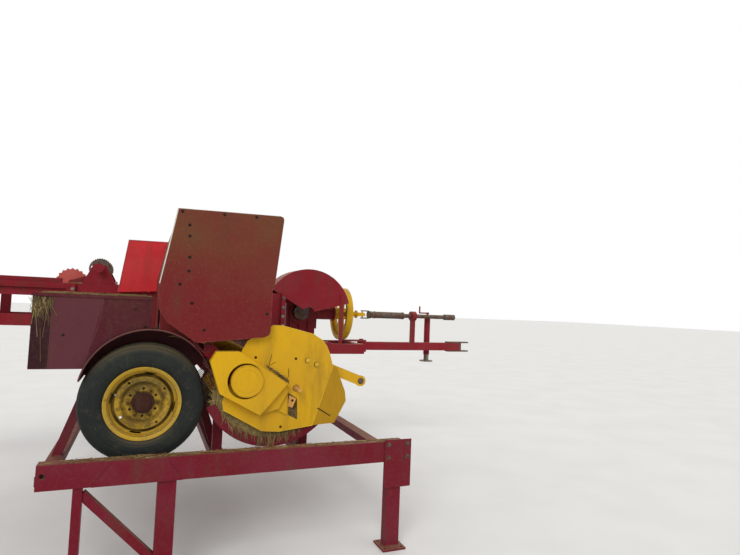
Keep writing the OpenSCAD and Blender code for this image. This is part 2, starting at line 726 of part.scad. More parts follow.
module rotor(y) translate([0, y, rotor_z]) {
    rod_x(96.4, 690, 0, 0, 20);
    for (a = [90, 210, 330]) rotate([a, 0, 0]) {
        for (x = [140, 580]) block([x, x + 14], [-22, 22], [12, rotor_r - 130]);
        rod_x(130, 604, 0, rotor_r - 138, 16);
        for (x = [170, 290, 430, 550]) {
            rod_z(x, 0, rotor_r - 140, rotor_r - 20, 9);
            translate([x, 0, rotor_r - 20]) cylinder(r1 = 9, r2 = 4, h = 20);
        }
    }
    for (x = [140, 580]) rod_x(x - 8, x + 22, 0, 0, 38);
}

module feeder_rotor_right() color(yellow) place() rotor(rotor_ys[0]);
module feeder_rotor_left() color(yellow) place() rotor(rotor_ys[1]);

// Panels

// Corner points of the right end cover, forward and up from the wheel's centre
shield = [[125, 1136], [735, 1152], [752, 1146], [757, 1128], [716, 687], [706, 690], [706, 420],
    [694, 398], [668, 388], [271, 349], [100, 466], [52, 545], [46, 675]];
shield_y = -22;

module side_shield() color(maroon) place() {
    side(shield_y, shield_y + 3) polygon(up(shield));
    side(shield_y + 2, shield_y + 12) flange(up(shield), hood_t);
    for (p = [[150, 740], [170, 1040], [650, 1040], [640, 620]])
        rod_y(p[0], shield_y + 2, deck_y0 - 4, axle_z + p[1], 10);
}

panel_y = case_y0 - wall - 38;

module inner_panel() color("#c01f2c") place() {
    y = panel_y;
    side(y, y + 3) polygon(up([[-190, 1110], [738, 1126], [712, 712], [-250, 645]]));
    side(y + 2, y + 20) sheet(up([[-250, 645], [-190, 1110], [738, 1126]]), 0, -hood_t);
    for (x = [-200, -20]) block([x, x + 30], [y + 2, case_y0 - wall], [top_z - 40, top_z - 32]);
}

// Twine box with its bottom cut to clear the wheel
arch_x = 20;
arch_z = axle_z + 60;
arch_r = 356;
box_x0 = -578;
box_z0 = axle_z + 196;
box_y0 = 30;
lid_z = box_z0 + box_h;
hinge_y = box_y0 + box_depth + 12;
hinge_z = lid_z + 8;

module box_side(inset) difference() {
    translate([box_x0 + inset, box_z0 + inset]) square([box_len - 2 * inset, box_h - inset]);
    translate([arch_x, arch_z]) circle(r = arch_r + 4 + seat_gap + inset, $fn = 128);
}

module twine_box() color(maroon) place() {
    box_shell();
    for (x = [box_x0 + 122, box_x0 + box_len - 152]) difference() {
        union() {
            rod_x(x, x + 30, hinge_y, hinge_z, 8);
            block([x, x + 30], [box_y0 + box_depth - 1, hinge_y + 8], [lid_z - 30, hinge_z]);
        }
        block([x - 1, x + 31], [box_y0 + box_depth - 2, hinge_y - 9], [lid_z - 16, hinge_z + 9]);
    }
}

module box_shell() difference() {
    side(box_y0, box_y0 + box_depth) box_side(0);
    side(box_y0 + box_wall, box_y0 + box_depth - box_wall) difference() {
        box_side(box_wall);
        for (x = [box_x0 + 200]) translate([x, box_z0]) square([box_wall, box_h - 90]);
    }
    block([box_x0 + box_wall, box_x0 + box_len - box_wall],
        [box_y0 + box_wall, box_y0 + box_depth - box_wall], [lid_z - 2 * box_wall, lid_z + 1]);
}

// The lid lies on the box and turns on a rod along its inner edge
module twine_box_lid() color(maroon) place() {
    difference() {
        block([box_x0 - 6, box_x0 + box_len + 6], [box_y0 - 6, box_y0 + box_depth + 2],
            [lid_z + seat_gap - 14, lid_z + seat_gap + 3]);
        block([box_x0 - 4, box_x0 + box_len + 4], [box_y0 - 4, box_y0 + box_depth + 9],
            [lid_z - 30, lid_z + seat_gap]);
    }
    for (x = [box_x0 + 60, box_x0 + box_len - 120]) {
        rod_x(x, x + 60, hinge_y, hinge_z, 8);
        block([x, x + 60], [box_y0 + box_depth + 1, hinge_y], [lid_z + seat_gap, hinge_z - 2]);
    }
}

// Rolled arch over the wheel, with its inner wall
// Parts of the arch's strip as near side, far side and front angle: the outer
// one stops short of the lowered pickup's cover
arch_parts = [[0, 34, 35], [33, 60, 3], [59, drop_y - 14, 24]];

module wheel_arch() color(maroon) place() {
    for (part = arch_parts) side(part[0], part[1]) translate([arch_x, arch_z])
        arc_strip(arch_r, arch_r + 4, part[2], 169);
    for (part = [[0, 8, 36, 168], [33, 41, 4, 34]]) side(part[0], part[1]) translate([arch_x, arch_z])
        arc_strip(arch_r + 2, arch_r + 7, part[2], part[3]);
    side(drop_y - 17, drop_y - 14) difference() {
        translate([arch_x, arch_z]) arc_strip(60, arch_r + 2, 25, 168);
        translate([0, axle_z]) circle(r = 110);
    }
    for (x = [-60, 40]) block([x, x + 20], [drop_y - 15, drop_y], [axle_bottom, axle_bottom + 90]);
}

// Bale chute that folds up on a rod at the case's rear end
chute_x = -case_rear - 20;
chute_z = axle_top - 17;

module bale_chute() color(red) place() {
    rod_y(chute_x, case_y0 + 10, case_y1 - 10, chute_z, 10);
    for (y = [case_y0 + 12, case_mid - 20, case_y1 - 36])
        block([rear_x + 20, chute_x - 12], [y, y + 24], [chute_z - 12, chute_z + 12]);
    for (y = [case_y0 + 12, case_mid - 20, case_y1 - 36])
        block([chute_x - 14, chute_x + 6], [y, y + 24], [chute_z - 12, chute_z + 12]);
    block([rear_x, chute_x - 24], [case_y0 + 2, case_y1 - 2], [chute_z + 11, chute_z + 16]);
    for (y = [case_y0 + 2, case_y1 - 6]) side(y, y + 4) polygon([[rear_x, chute_z + 11],
        [chute_x - 34, chute_z + 11], [chute_x - 34, chute_z + 90], [rear_x + 60, chute_z + 60],
        [rear_x, chute_z + 40]]);
}

// Pickup

// End plates hang from the lift pivots and carry the reel's shaft
end_ys = [[reel_y0 - 16, reel_y0 - 10], [reel_y1 + 10, reel_y1 + 16]];
tie_r = tip_r + 19;
tie_as = [-110, 136];
function tie_at(a) = [reel_x + tie_r * cos(a), reel_z + tie_r * sin(a)];
guard_bar_x = reel_x + 190;
guard_bar_z = reel_z + 175;

module pickup_frame() color(red) place() {
    difference() {
        for (e = end_ys) side(e[0], e[1]) difference() {
            union() {
                translate([reel_x, reel_z]) circle(r = 176, $fn = 96);
                bar([reel_x, reel_z], [lift_x, lift_z], 80);
                translate([lift_x, lift_z]) circle(r = 30);
                bar([reel_x, reel_z], [guard_bar_x, guard_bar_z], 84);
                translate([guard_bar_x, guard_bar_z]) circle(r = 45);
                bar([reel_x, reel_z], tie_at(tie_as[0]), 44);
                translate(tie_at(tie_as[0])) circle(r = 28);
            }
            translate([reel_x, reel_z]) circle(r = 24 + run_gap);
            translate([lift_x, lift_z]) circle(r = 14 + run_gap);
        }
    }
    rod_y(lift_x + 20, end_ys[0][0], end_ys[1][1], lift_z - 40, 18);
}

// Bands wrap round the front of the reel between the tines, and two rods outside the
// tines' path tie their ends
module pickup_strippers() color(yellow) place() {
    for (i = [0 : band_count - 1]) {
        y = reel_y0 + 20 + i * tine_pitch;
        side(y, y + band_w) translate([reel_x, reel_z]) {
            arc_strip(band_r - 4, band_r, tie_as[0] - 3, tie_as[1] + 3);
            for (a = tie_as) rotate(a) translate([band_r - 3, -7]) square([tie_r - band_r + 3, 14]);
        }
    }
    for (a = tie_as) rod_y(tie_at(a)[0], end_ys[0][1], end_ys[1][0], tie_at(a)[1], 12);
}

// Tine bars on spiders; the tines stand between the bands
module pickup_reel() color(steel) place() translate([reel_x, 0, reel_z]) {
    rod_y(0, end_ys[0][0] - 6, end_ys[1][1] + 6, 0, 24);
    for (y = [reel_y0, (reel_y0 + reel_y1) / 2 - 4, reel_y1 - 8]) side(y, y + 8) {
        circle(r = 40);
        for (a = [45 : 90 : 315]) rotate(a) bar([0, 0], [bar_circle_r, 0], 44);
        for (a = [45 : 90 : 315]) rotate(a) translate([bar_circle_r, 0]) circle(r = 22);
    }
    for (a = [45 : 90 : 315]) rotate([0, a, 0]) {
        rod_y(bar_circle_r, reel_y0, reel_y1, 0, 13);
        for (i = [0 : band_count]) {
            y = reel_y0 + 20 + i * tine_pitch - (tine_pitch - band_w) / 2;
            rod_x(bar_circle_r, tip_r, y, 0, tine_r);
        }
    }
}

// Outline of the yellow end guard, forward and up from the wheel's centre
guard = [[443, -4], [454, -60], [692, -196], [802, -205], [1020, -178], [1144, 200], [1116, 291],
    [1092, 340], [1064, 373], [999, 411], [789, 462], [730, 463], [690, 424], [577, 364], [548, 310]];
flare = [[1016, -177], [1162, -162], [1235, -21], [1228, 40], [1169, 192], [1140, 199]];
guard_y = 28;

module pickup_guard() color(yellow) place() {
    side(guard_y, guard_y + 3) difference() {
        polygon(up(guard));
        polygon(up([[848, 37], [910, -1], [917, -135], [857, -105]]));
    }
    flare_a = atan2(378, 124);
    translate([1020, guard_y, axle_z - 178]) rotate([0, -flare_a, 0]) rotate([-14, 0, 0])
        rotate([0, flare_a, 0]) translate([-1020, 0, -axle_z + 178])
        side(0, 3) polygon(up(flare));
    side(guard_y + 2, guard_y + 22) sheet(up([[577, 364], [690, 424], [730, 463], [789, 462],
        [999, 411], [1064, 373], [1092, 340], [1116, 291]]), 0, -3);
    for (p = [[640, 300], [700, -80], [560, 10]])
        rod_y(p[0], guard_y + 2, end_ys[0][0], axle_z + p[1], 10);
    rod_y(900, guard_y - 100, guard_y + 1, axle_z + 64, 9);
}

cover = [[353, 240], [386, 300], [523, 301], [830, 103], [665, -88], [417, 50]];

// Box cover over the reel's drive, with a round boss
module pickup_cover() color(yellow) place() {
    y = guard_y - 62;
    side(y, y + 3) difference() {
        polygon(up(cover));
        translate([reel_x - 18, reel_z + 2]) circle(r = 108);
    }
    side(y + 2, guard_y) flange(up(cover), 3);
    rod_y(reel_x - 8, y - 8, guard_y, reel_z + 2, 98);
}

module pickup_arm() color(yellow) place() {
    side(guard_y + 5, guard_y + 17) difference() {
        union() {
            bar([960, axle_z + 250], [1349, axle_z + 101], 64);
            translate([1349, axle_z + 101]) circle(r = 36);
        }
        translate([1349, axle_z + 101]) circle(r = 13);
    }
    rod_y(1000, guard_y + 3 + seat_gap, guard_y + 6, axle_z + 234, 20);
}

// Curved rods that hold the crop down above the reel
module wind_guard() color(steel) place() {
    rod_r = 242;
    rod_y(guard_bar_x, end_ys[0][1], end_ys[1][0], guard_bar_z, 14);
    for (i = [0 : 2 : band_count]) {
        y = reel_y0 + 20 + i * tine_pitch - (tine_pitch - band_w) / 2;
        side(y - 4, y + 4) translate([reel_x, reel_z]) arc_strip(rod_r - 4, rod_r + 4, -18, 42);
        side(y - 4, y + 4) bar([reel_x + rod_r * cos(41), reel_z + rod_r * sin(41)],
            [guard_bar_x, guard_bar_z], 8);
    }
}

// Drawbar

tongue_z0 = axle_bottom - rail_h / 2 - tongue_w / 2;
tongue_z1 = tongue_z0 + tongue_w;
jack_x = 3150;
jack_y = shaft_y + tongue_w / 2 + 46;

// Tongue, bearing post for the shaft and the jack's sleeve
module drawbar() color(red) place() {
    difference() {
        union() {
            block([pivot_x + 20, hitch_x - 110], [shaft_y - tongue_w / 2, shaft_y + tongue_w / 2],
                [tongue_z0, tongue_z1]);
            rod_z(pivot_x, shaft_y, axle_bottom - rail_h + 1, axle_bottom - 1, 46);
        }
        rod_z(pivot_x, shaft_y, tongue_z0 - 20, tongue_z1 + 20, 24 + run_gap);
    }
    block([bearing_x - 20, bearing_x + 20], [shaft_y - 30, shaft_y + 30], [tongue_z1 - 1, joint_z - 40]);
    difference() {
        rod_x(bearing_x - 30, bearing_x + 30, shaft_y, joint_z, 56);
        rod_x(bearing_x - 31, bearing_x + 31, shaft_y, joint_z, 24 + run_gap);
    }
    difference() {
        union() {
            rod_z(jack_x, jack_y, tongue_z0 - 60, tongue_z0 + 420, 36);
            block([jack_x - 60, jack_x + 60], [shaft_y + tongue_w / 2, jack_y],
                [tongue_z0 + 5, tongue_z1 - 5]);
        }
        rod_z(jack_x, jack_y, tongue_z0 - 61, tongue_z0 + 400, 30);
    }
    rod_z(jack_x, jack_y, tongue_z0 + 419, tongue_z0 + 450, 14);
    rod_x(jack_x - 110, jack_x + 20, jack_y, tongue_z0 + 440, 8);
    rod_z(jack_x - 110, jack_y, tongue_z0 + 432, tongue_z0 + 520, 9);
}

module hitch_clevis() color(steel) place() difference() {
    union() {
        for (z = [tongue_z0 - 14 - seat_gap, tongue_z1 + seat_gap]) {
            block([hitch_x - 260, hitch_x], [shaft_y - 42, shaft_y + 42], [z, z + 14]);
            rod_z(hitch_x, shaft_y, z, z + 14, 42);
        }
        block([hitch_x - 110 + seat_gap, hitch_x - 80], [shaft_y - 42, shaft_y + 42],
            [tongue_z0 - 2, tongue_z1 + 2]);
    }
    rod_z(hitch_x, shaft_y, tongue_z0 - 20, tongue_z1 + 20, hitch_r);
}

module jack_leg() color(steel) place() {
    rod_z(jack_x, jack_y, tongue_z0 - 130, tongue_z0 + 330, 30 - run_gap);
    rod_z(jack_x, jack_y, tongue_z0 - 142, tongue_z0 - 130, 80);
}

// Stand

far_y0 = far_beam_y0;
leg_xs = [[-310, 45], [100, 100], [1500, 100]];
cross_xs = [-492, 412, 960, 1500];

module stand_beams() color(red) place() {
    for (y = [beam_y0, far_y0]) {
        difference() {
            union() {
                difference() {
                    block([stand_rear, stand_front], [y, y + beam_w], [beam_top - beam_h, beam_top]);
                    block([stand_rear - 1, stand_front + 1], [y + tube_t, y + beam_w - tube_t],
                        [beam_top - beam_h + tube_t, beam_top - tube_t]);
                }
                rod_y(stand_rear + 30, y + 1, y + beam_w - 1, beam_top - 56, 24);
            }
            rod_y(stand_rear + 30, y - 1, y + beam_w + 1, beam_top - 56, eye_r);
        }
        side(y < 0 ? y - 5 : y + beam_w, y < 0 ? y : y + beam_w + 5)
            polygon([[-225, beam_top - beam_h], [-125, beam_top], [140, beam_top],
                [230, beam_top - beam_h]]);
    }
    for (x = cross_xs) difference() {
        block([x, x + cross_w], [beam_y0 + beam_w - 1, far_y0 + 1],
            [beam_top - beam_h, beam_top - beam_h + cross_h]);
        block([x + tube_t, x + cross_w - tube_t], [beam_y0 + beam_w, far_y0],
            [beam_top - beam_h + tube_t, beam_top - beam_h + cross_h - tube_t]);
    }
}

module foot(x, y) difference() {
    block([x - foot_w / 2, x + foot_w / 2], [y - foot_w / 2, y + foot_w / 2], [0, 12]);
    for (a = [-1, 1], b = [-1, 1]) rod_z(x + a * 58, y + b * 58, -1, 13, anchor_r);
}

module stand_legs() color(red) place() for (y = [beam_y0, far_y0]) {
    mid = y + beam_w / 2;
    for (leg = leg_xs) {
        difference() {
            block([leg[0], leg[0] + leg[1]], [mid - 30, mid + 30], [11, beam_top - beam_h]);
            block([leg[0] + tube_t, leg[0] + leg[1] - tube_t], [mid - 30 + tube_t, mid + 30 - tube_t],
                [20, beam_top - beam_h + 1]);
        }
        foot(leg[0] + leg[1] / 2, mid);
    }
    side(mid - 20, mid + 20) bar([leg_xs[0][0] + 40, beam_top - beam_h - 40], [leg_xs[1][0] + 10, 120], 45);
}

// Raking struts carry the machine's axle beam from the stand
// Columns: near side Y and the height of the seat
struts = [[drop_y + 63, axle_bottom], [rail_y1 + 10, axle_bottom - rail_h]];

module stand_struts() color(red) place() for (t = struts) side(t[0], t[0] + 40) {
    base = beam_top - beam_h + cross_h;
    intersection() {
        for (s = [-1, 1]) bar([s * 456, base - 20], [s * 270, t[1] - 30], 50);
        translate([-500, base]) square([1000, 600]);
    }
    translate([-300, t[1] - 60]) square([600, 60]);
}

// Curved pan under the pickup with a ring plate at its near end
module stand_pan() color(red) place() {
    side(56, 1712) translate([pan_x, pan_z]) arc_strip(pan_r - 5, pan_r, 219, 322);
    side(50, 56) translate([pan_x, pan_z]) arc_strip(pan_r - 58, pan_r, 206, 326);
    side(1712, 1718) translate([pan_x, pan_z]) arc_strip(pan_r - 58, pan_r, 219, 322);
    base = beam_top - beam_h + cross_h;
    for (y = [200, 1500]) side(y, y + 40) difference() {
        union() {
            translate([420, base]) square([60, 260]);
            translate([980, base]) square([60, 200]);
        }
        translate([pan_x, pan_z]) circle(r = pan_r - 2, $fn = 96);
    }
}

bale_case();
main_frame();
axle_beam();
tension_rails();
tension_springs();
metering_wheel();
knotter_frame();
knotters();
needle_yoke();
plunger();
connecting_rod();
crank_arm();
gearbox();
crank_hood();
flywheel();
feeder_pan();
feeder_hood();
feeder_rotor_right();
feeder_rotor_left();
side_shield();
inner_panel();
twine_box();
twine_box_lid();
wheel_arch();
bale_chute();
tyre_right();
rim_right();
hub_right();
tyre_left();
rim_left();
hub_left();
pickup_frame();
pickup_strippers();
pickup_reel();
pickup_guard();
pickup_cover();
pickup_arm();
wind_guard();
drawbar();
hitch_clevis();
jack_leg();
driveline();
stand_beams();
stand_legs();
stand_struts();
stand_pan();
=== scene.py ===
import json
import math
import random

import bmesh
import bpy
from mathutils import Matrix, Vector


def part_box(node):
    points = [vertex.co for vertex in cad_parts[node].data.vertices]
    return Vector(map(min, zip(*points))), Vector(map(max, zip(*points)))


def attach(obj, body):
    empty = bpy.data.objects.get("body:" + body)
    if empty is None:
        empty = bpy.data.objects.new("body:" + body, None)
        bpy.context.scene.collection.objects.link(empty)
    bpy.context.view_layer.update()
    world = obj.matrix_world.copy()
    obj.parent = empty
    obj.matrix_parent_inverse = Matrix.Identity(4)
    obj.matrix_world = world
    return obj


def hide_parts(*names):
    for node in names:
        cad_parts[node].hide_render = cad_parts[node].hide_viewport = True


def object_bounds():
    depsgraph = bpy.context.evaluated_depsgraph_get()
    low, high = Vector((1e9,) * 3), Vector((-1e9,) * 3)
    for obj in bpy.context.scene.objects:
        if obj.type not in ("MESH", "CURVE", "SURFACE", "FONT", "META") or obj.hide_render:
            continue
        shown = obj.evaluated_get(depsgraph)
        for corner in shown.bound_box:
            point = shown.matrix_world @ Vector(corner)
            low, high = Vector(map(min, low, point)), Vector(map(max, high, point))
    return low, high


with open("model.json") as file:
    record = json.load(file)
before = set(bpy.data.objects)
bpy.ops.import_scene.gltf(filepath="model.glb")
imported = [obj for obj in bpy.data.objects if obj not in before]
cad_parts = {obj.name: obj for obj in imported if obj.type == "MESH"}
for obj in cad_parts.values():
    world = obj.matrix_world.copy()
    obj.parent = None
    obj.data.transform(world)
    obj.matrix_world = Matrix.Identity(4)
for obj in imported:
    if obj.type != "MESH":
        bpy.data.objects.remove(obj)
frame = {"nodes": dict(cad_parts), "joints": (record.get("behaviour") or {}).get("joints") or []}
nodes = frame["nodes"]
cad_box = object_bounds()

# Places are metres forward of, inward of and above the middle of the right rim's outer face
joint_at = {j["name"]: Vector(j["pos_m"]) for j in frame["joints"] if "pos_m" in j}
AXLE = joint_at["wheel_right_spin"]
RIM_FACE_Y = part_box("rim_right")[0].y

FORWARD = (1, 0, 0)
TO_LEFT = (0, 1, 0)
TO_RIGHT = (0, -1, 0)

# Outer faces of the right side, inward of the rim's face
SHIELD_FACE = -0.022
GUARD_FACE = 0.028
BOX_FACE = 0.030
BEAM_FACE = -0.130


def point(forward, y, up):
    """A place forward of and above the axle, at a Y of the frame."""
    return Vector((AXLE.x + forward, y, AXLE.z + up))


def spot(forward, inward, up):
    return point(forward, RIM_FACE_Y + inward, up)


def circle(radius, count, start=0.0):
    return [(radius * math.cos(start + 2 * math.pi * k / count),
             radius * math.sin(start + 2 * math.pi * k / count)) for k in range(count)]


# Camera, as fitted to the ellipse of the right rim
CAMERA_AT = spot(-0.015, -3.253, 0.600)
CAMERA_YAW = math.radians(23.1)
CAMERA_PITCH = math.radians(3.3)
CAMERA_ROLL = math.radians(2.35)
FOCAL_PX = 520
IMAGE_W = 740


def make_camera():
    turn = (Matrix.Rotation(-CAMERA_YAW, 4, "Z") @ Matrix.Rotation(math.pi / 2 + CAMERA_PITCH, 4, "X")
            @ Matrix.Rotation(CAMERA_ROLL, 4, "Z"))
    data = bpy.data.cameras.new("camera")
    data.sensor_width = 36
    data.lens = FOCAL_PX / IMAGE_W * data.sensor_width
    data.clip_end = 200
    camera = bpy.data.objects.new("camera", data)
    camera.matrix_world = Matrix.Translation(CAMERA_AT) @ turn
    bpy.context.scene.collection.objects.link(camera)
    bpy.context.scene.camera = camera


# Surfaces

def colour(text):
    """A hex colour as linear values."""
    parts = [int(text[i:i + 2], 16) / 255 for i in (1, 3, 5)]
    return tuple(c / 12.92 if c <= 0.04045 else ((c + 0.055) / 1.055) ** 2.4 for c in parts) + (1,)


class Surface:
    """A material whose colour and roughness are laid on in layers. Colours are hex."""

    def __init__(self, name, base, roughness, metallic=0.0):
        self.material = bpy.data.materials.new(name)
        self.material.use_nodes = True
        self.tree = self.material.node_tree
        self.shader = self.tree.nodes["Principled BSDF"]
        self.shader.inputs["Metallic"].default_value = metallic
        self.place = self.tree.nodes.new("ShaderNodeTexCoord").outputs["Object"]
        self.colour = colour(base)
        self.rough = roughness
        self.height = None

    def link(self, source, socket):
        if isinstance(source, bpy.types.NodeSocket):
            self.tree.links.new(source, socket)
        else:
            socket.default_value = source

    def node(self, kind, sockets, operation=None):
        """A new node with its sockets linked or set."""
        node = self.tree.nodes.new("ShaderNode" + kind)
        if operation:
            node.operation = operation
        for socket, source in sockets.items():
            self.link(source, node.inputs[socket])
        return node

    def maths(self, what, a, b=0.0):
        node = self.node("Math", {0: a, 1: b}, what)
        node.use_clamp = what in ("ADD", "SUBTRACT", "MULTIPLY")
        return node.outputs[0]

    def vectors(self, what, a, b=(0, 0, 0)):
        return self.node("VectorMath", {0: a, 1: b}, what).outputs

    def geometry(self, what):
        return self.tree.nodes.new("ShaderNodeNewGeometry").outputs[what]

    def noise(self, scale, detail, rough, shift=0.0, stretch=(1, 1, 1)):
        moved = self.node("Mapping", {"Vector": self.place, "Scale": stretch,
                                      "Location": (shift, shift * 0.7, shift * 1.3)})
        return self.node("TexNoise", {"Vector": moved.outputs["Vector"], "Scale": scale,
                                      "Detail": detail, "Roughness": rough}).outputs["Fac"]

    def between(self, value, low, high, out_low=0.0, out_high=1.0):
        node = self.node("MapRange", {"Value": value, "From Min": low, "From Max": high,
                                      "To Min": out_low, "To Max": out_high})
        node.interpolation_type = "SMOOTHSTEP"
        return node.outputs["Result"]

    def patches(self, scale, detail, rough, shift, low, high, out_low=0.0, out_high=1.0):
        """Uneven patches where a noise lies between two levels."""
        return self.between(self.noise(scale, detail, rough, shift), low, high, out_low, out_high)

    def part(self, vector, axis, low, high):
        split = self.node("SeparateXYZ", {0: vector})
        return self.between(split.outputs[axis], low, high)

    def facing_up(self, low, high):
        return self.part(self.geometry("Normal"), "Z", low, high)

    def height_between(self, low, high):
        return self.part(self.place, "Z", low, high)

    def past(self, a, b, soft=0.003):
        """One to the right of a line between two places given as forward and up."""
        (af, au), (bf, bu) = a, b
        normal = Vector((bu - au, 0, af - bf)) / math.hypot(bf - af, bu - au)
        reach = self.vectors("DOT_PRODUCT", self.place, normal)["Value"]
        start = spot(af, 0, au).dot(normal)
        return self.between(reach, start - soft, start + soft)

    def ring(self, inner, outer, soft=0.003):
        """One between two distances from the wheels' axis."""
        away = self.vectors("SUBTRACT", self.place, (AXLE.x, 0, AXLE.z))["Vector"]
        flat = self.vectors("MULTIPLY", away, (1, 0, 1))["Vector"]
        r = self.vectors("LENGTH", flat)["Value"]
        return self.maths("MULTIPLY", self.between(r, inner - soft, inner + soft),
                          self.between(r, outer + soft, outer - soft))

    def edges(self, radius):
        """One at sharp outer edges, nought on flats."""
        bevel = self.node("Bevel", {"Radius": radius})
        bevel.samples = 4
        same = self.vectors("DOT_PRODUCT", bevel.outputs["Normal"], self.geometry("Normal"))["Value"]
        return self.between(same, 0.995, 0.90)

    def by_piece(self, low, high):
        """A value that differs between loose parts of one mesh."""
        return self.between(self.geometry("Random Per Island"), low, high)

    def blend(self, kind, mask, a, b):
        node = self.tree.nodes.new("ShaderNodeMix")
        node.data_type = kind
        for socket, source in (("Factor", mask), ("A", a), ("B", b)):
            self.link(source, node.inputs[socket])
        return node.outputs["Result"]

    def layer(self, mask, tint, rough=None, amount=None):
        """A tint laid on where the mask is one, thinned by an amount."""
        if amount is not None:
            mask = self.maths("MULTIPLY", mask, amount)
        self.colour = self.blend("RGBA", mask, self.colour, colour(tint))
        if rough is not None:
            self.rough = self.blend("FLOAT", mask, self.rough, rough)

    def raise_by(self, mask, amount):
        grown = self.maths("MULTIPLY", mask, amount)
        self.height = grown if self.height is None else self.maths("ADD", self.height, grown)

    def done(self, bump_distance=0.001, specular=None):
        self.link(self.colour, self.shader.inputs["Base Color"])
        self.link(self.rough, self.shader.inputs["Roughness"])
        if specular is not None:
            self.shader.inputs["Specular IOR Level"].default_value = specular
        if self.height is not None:
            bump = self.node("Bump", {"Distance": bump_distance, "Height": self.height})
            self.link(bump.outputs["Normal"], self.shader.inputs["Normal"])
        return self.material


DUST = "#8f7a55"
MUD = "#4c3a28"
RUST = "#6b3a1f"
DARK_RUST = "#3b2418"
PRIMER = "#8c8378"
PAINT_SPECULAR = 0.16


def paint(name, base, faded, grime, dust, chips, chip_tint=RUST, roughness=0.45, rise=None, fold=None):
    """Old machine paint: sun-faded patches, run-down grime, dust on top and worn edges; a tint laid past a
    line is painted light, as painted shade on the guard's flare and a painted highlight on the twine box.
    """
    s = Surface(name, base, roughness)
    if rise:
        low, high, tint = rise
        uneven = s.maths("MULTIPLY", s.noise(2.2, 4, 0.6, 12.0), 0.5)
        s.layer(s.height_between(low, high), tint, None, s.maths("ADD", uneven, 0.75))
    s.layer(s.patches(1.7, 6, 0.62, 0.0, 0.38, 0.68), faded, roughness + 0.12)
    s.layer(s.between(s.noise(7, 8, 0.7, 3.1, (1, 1, 0.22)), 0.46, 0.74), MUD, 0.8, grime)
    s.layer(s.patches(60, 4, 0.7, 5.0, 0.45, 0.75), DUST, None, 0.07)
    settled = s.maths("MULTIPLY", s.facing_up(0.35, 0.9), s.patches(14, 8, 0.75, 7.7, 0.16, 0.80))
    s.layer(settled, DUST, 0.9, dust)
    # Painted light: a tint on one side of a line, as painted shade on the guard's flare and a painted
    # highlight on the twine box
    if fold:
        a, b, tint = fold
        s.layer(s.past(a, b), tint, None, 0.62)
    spots = s.maths("MULTIPLY", s.patches(95, 7, 0.72, 1.3, 0.64, 0.67),
                    s.patches(5, 4, 0.6, 9.2, 0.48, 0.60))
    worn = s.maths("MULTIPLY", s.edges(0.004), s.patches(26, 6, 0.7, 2.4, 0.42, 0.56))
    bare = s.maths("MULTIPLY", s.maths("MAXIMUM", spots, worn), chips)
    s.layer(bare, chip_tint, 0.75)
    s.raise_by(s.noise(320, 3, 0.5), 0.25)
    s.raise_by(s.maths("SUBTRACT", 1.0, bare), 0.35)
    return s.done(0.0012, PAINT_SPECULAR)


RIM_DISC_R = 0.146


def rim_paint():
    """Yellow wheel paint, dirtier on the disc, with painted shade on the disc's upper part and darkest where
    the disc meets the rim, a ring of painted shade.
    """
    s = Surface("rim_yellow", "#b49026", 0.5)
    s.layer(s.patches(6, 6, 0.65, 0.0, 0.38, 0.66), "#a3863a", 0.6)
    s.layer(s.ring(0.0, RIM_DISC_R), "#5f4a1e", 0.8, s.patches(15, 8, 0.76, 3.1, 0.42, 0.58, 0.08, 0.82))
    shade = s.maths("MULTIPLY", s.height_between(AXLE.z - 0.03, AXLE.z + 0.13), 0.5)
    s.layer(s.ring(0.0, RIM_DISC_R), "#5c5230", 0.8, shade)
    # Rings of tint; the second, the darkest, is painted shade where the disc meets the rim
    for inner, outer, soft, scale, detail, shift, least, most, tint, rough in (
            (0.098, 0.118, 0.006, 17, 5, 6.1, 0.1, 0.7, "#4d3a18", 0.85),
            (0.148, 0.168, 0.004, 15, 6, 9.1, 0.72, 0.96, "#2c1f0d", 0.9),
            (0.1838, 0.1876, 0.0012, 9, 5, 2.1, 0.6, 1.0, "#5e3f10", 0.8)):
        s.layer(s.ring(inner, outer, soft), tint, rough,
                s.patches(scale, detail, 0.7, shift, 0.3, 0.6, least, most))
    s.layer(s.patches(45, 6, 0.72, 1.3, 0.56, 0.66), "#5b3a17", 0.8, 0.55)
    s.raise_by(s.noise(260, 3, 0.5), 0.3)
    return s.done(0.001, PAINT_SPECULAR)


def bare_steel(name, base, rust=0.5, roughness=0.42, metallic=0.75):
    s = Surface(name, base, roughness, metallic)
    s.layer(s.patches(3.5, 6, 0.65, 0.0, 0.4, 0.7), "#55504a", roughness + 0.15)
    s.layer(s.patches(16, 8, 0.72, 4.0, 0.42, 0.62), RUST, 0.85, rust)
    s.layer(s.patches(48, 6, 0.7, 8.0, 0.52, 0.66), DARK_RUST, 0.9, rust)
    s.layer(s.facing_up(0.4, 0.95), DUST, 0.9, 0.35)
    s.raise_by(s.noise(180, 6, 0.7), 0.5)
    return s.done(0.0008)


def rubber(name, base):
    s = Surface(name, base, 0.72)
    s.layer(s.patches(4, 7, 0.7, 0.0, 0.42, 0.7), "#20251f", 0.85)
    s.layer(s.patches(22, 7, 0.7, 6.0, 0.5, 0.72), "#544b37", 0.95, 0.35)
    s.layer(s.facing_up(0.2, 0.9), DUST, 0.95, 0.25)
    s.raise_by(s.noise(240, 5, 0.65), 0.6)
    s.raise_by(s.noise(42, 5, 0.6, 2.0), 0.5)
    return s.done(0.0011, 0.3)


def hay(name, base, other):
    s = Surface(name, base, 0.85)
    s.layer(s.by_piece(0.25, 0.75), other)
    s.layer(s.by_piece(0.84, 0.90), "#b9a26a")
    s.layer(s.by_piece(0.12, 0.06), "#3d3119")
    s.layer(s.patches(35, 3, 0.6, 0.0, 0.4, 0.62), "#6f6038", None, 0.5)
    s.layer(s.patches(9, 3, 0.6, 4.0, 0.5, 0.7), "#5c4a28", None, 0.5)
    s.raise_by(s.noise(300, 2, 0.5), 0.4)
    return s.done(0.0006)


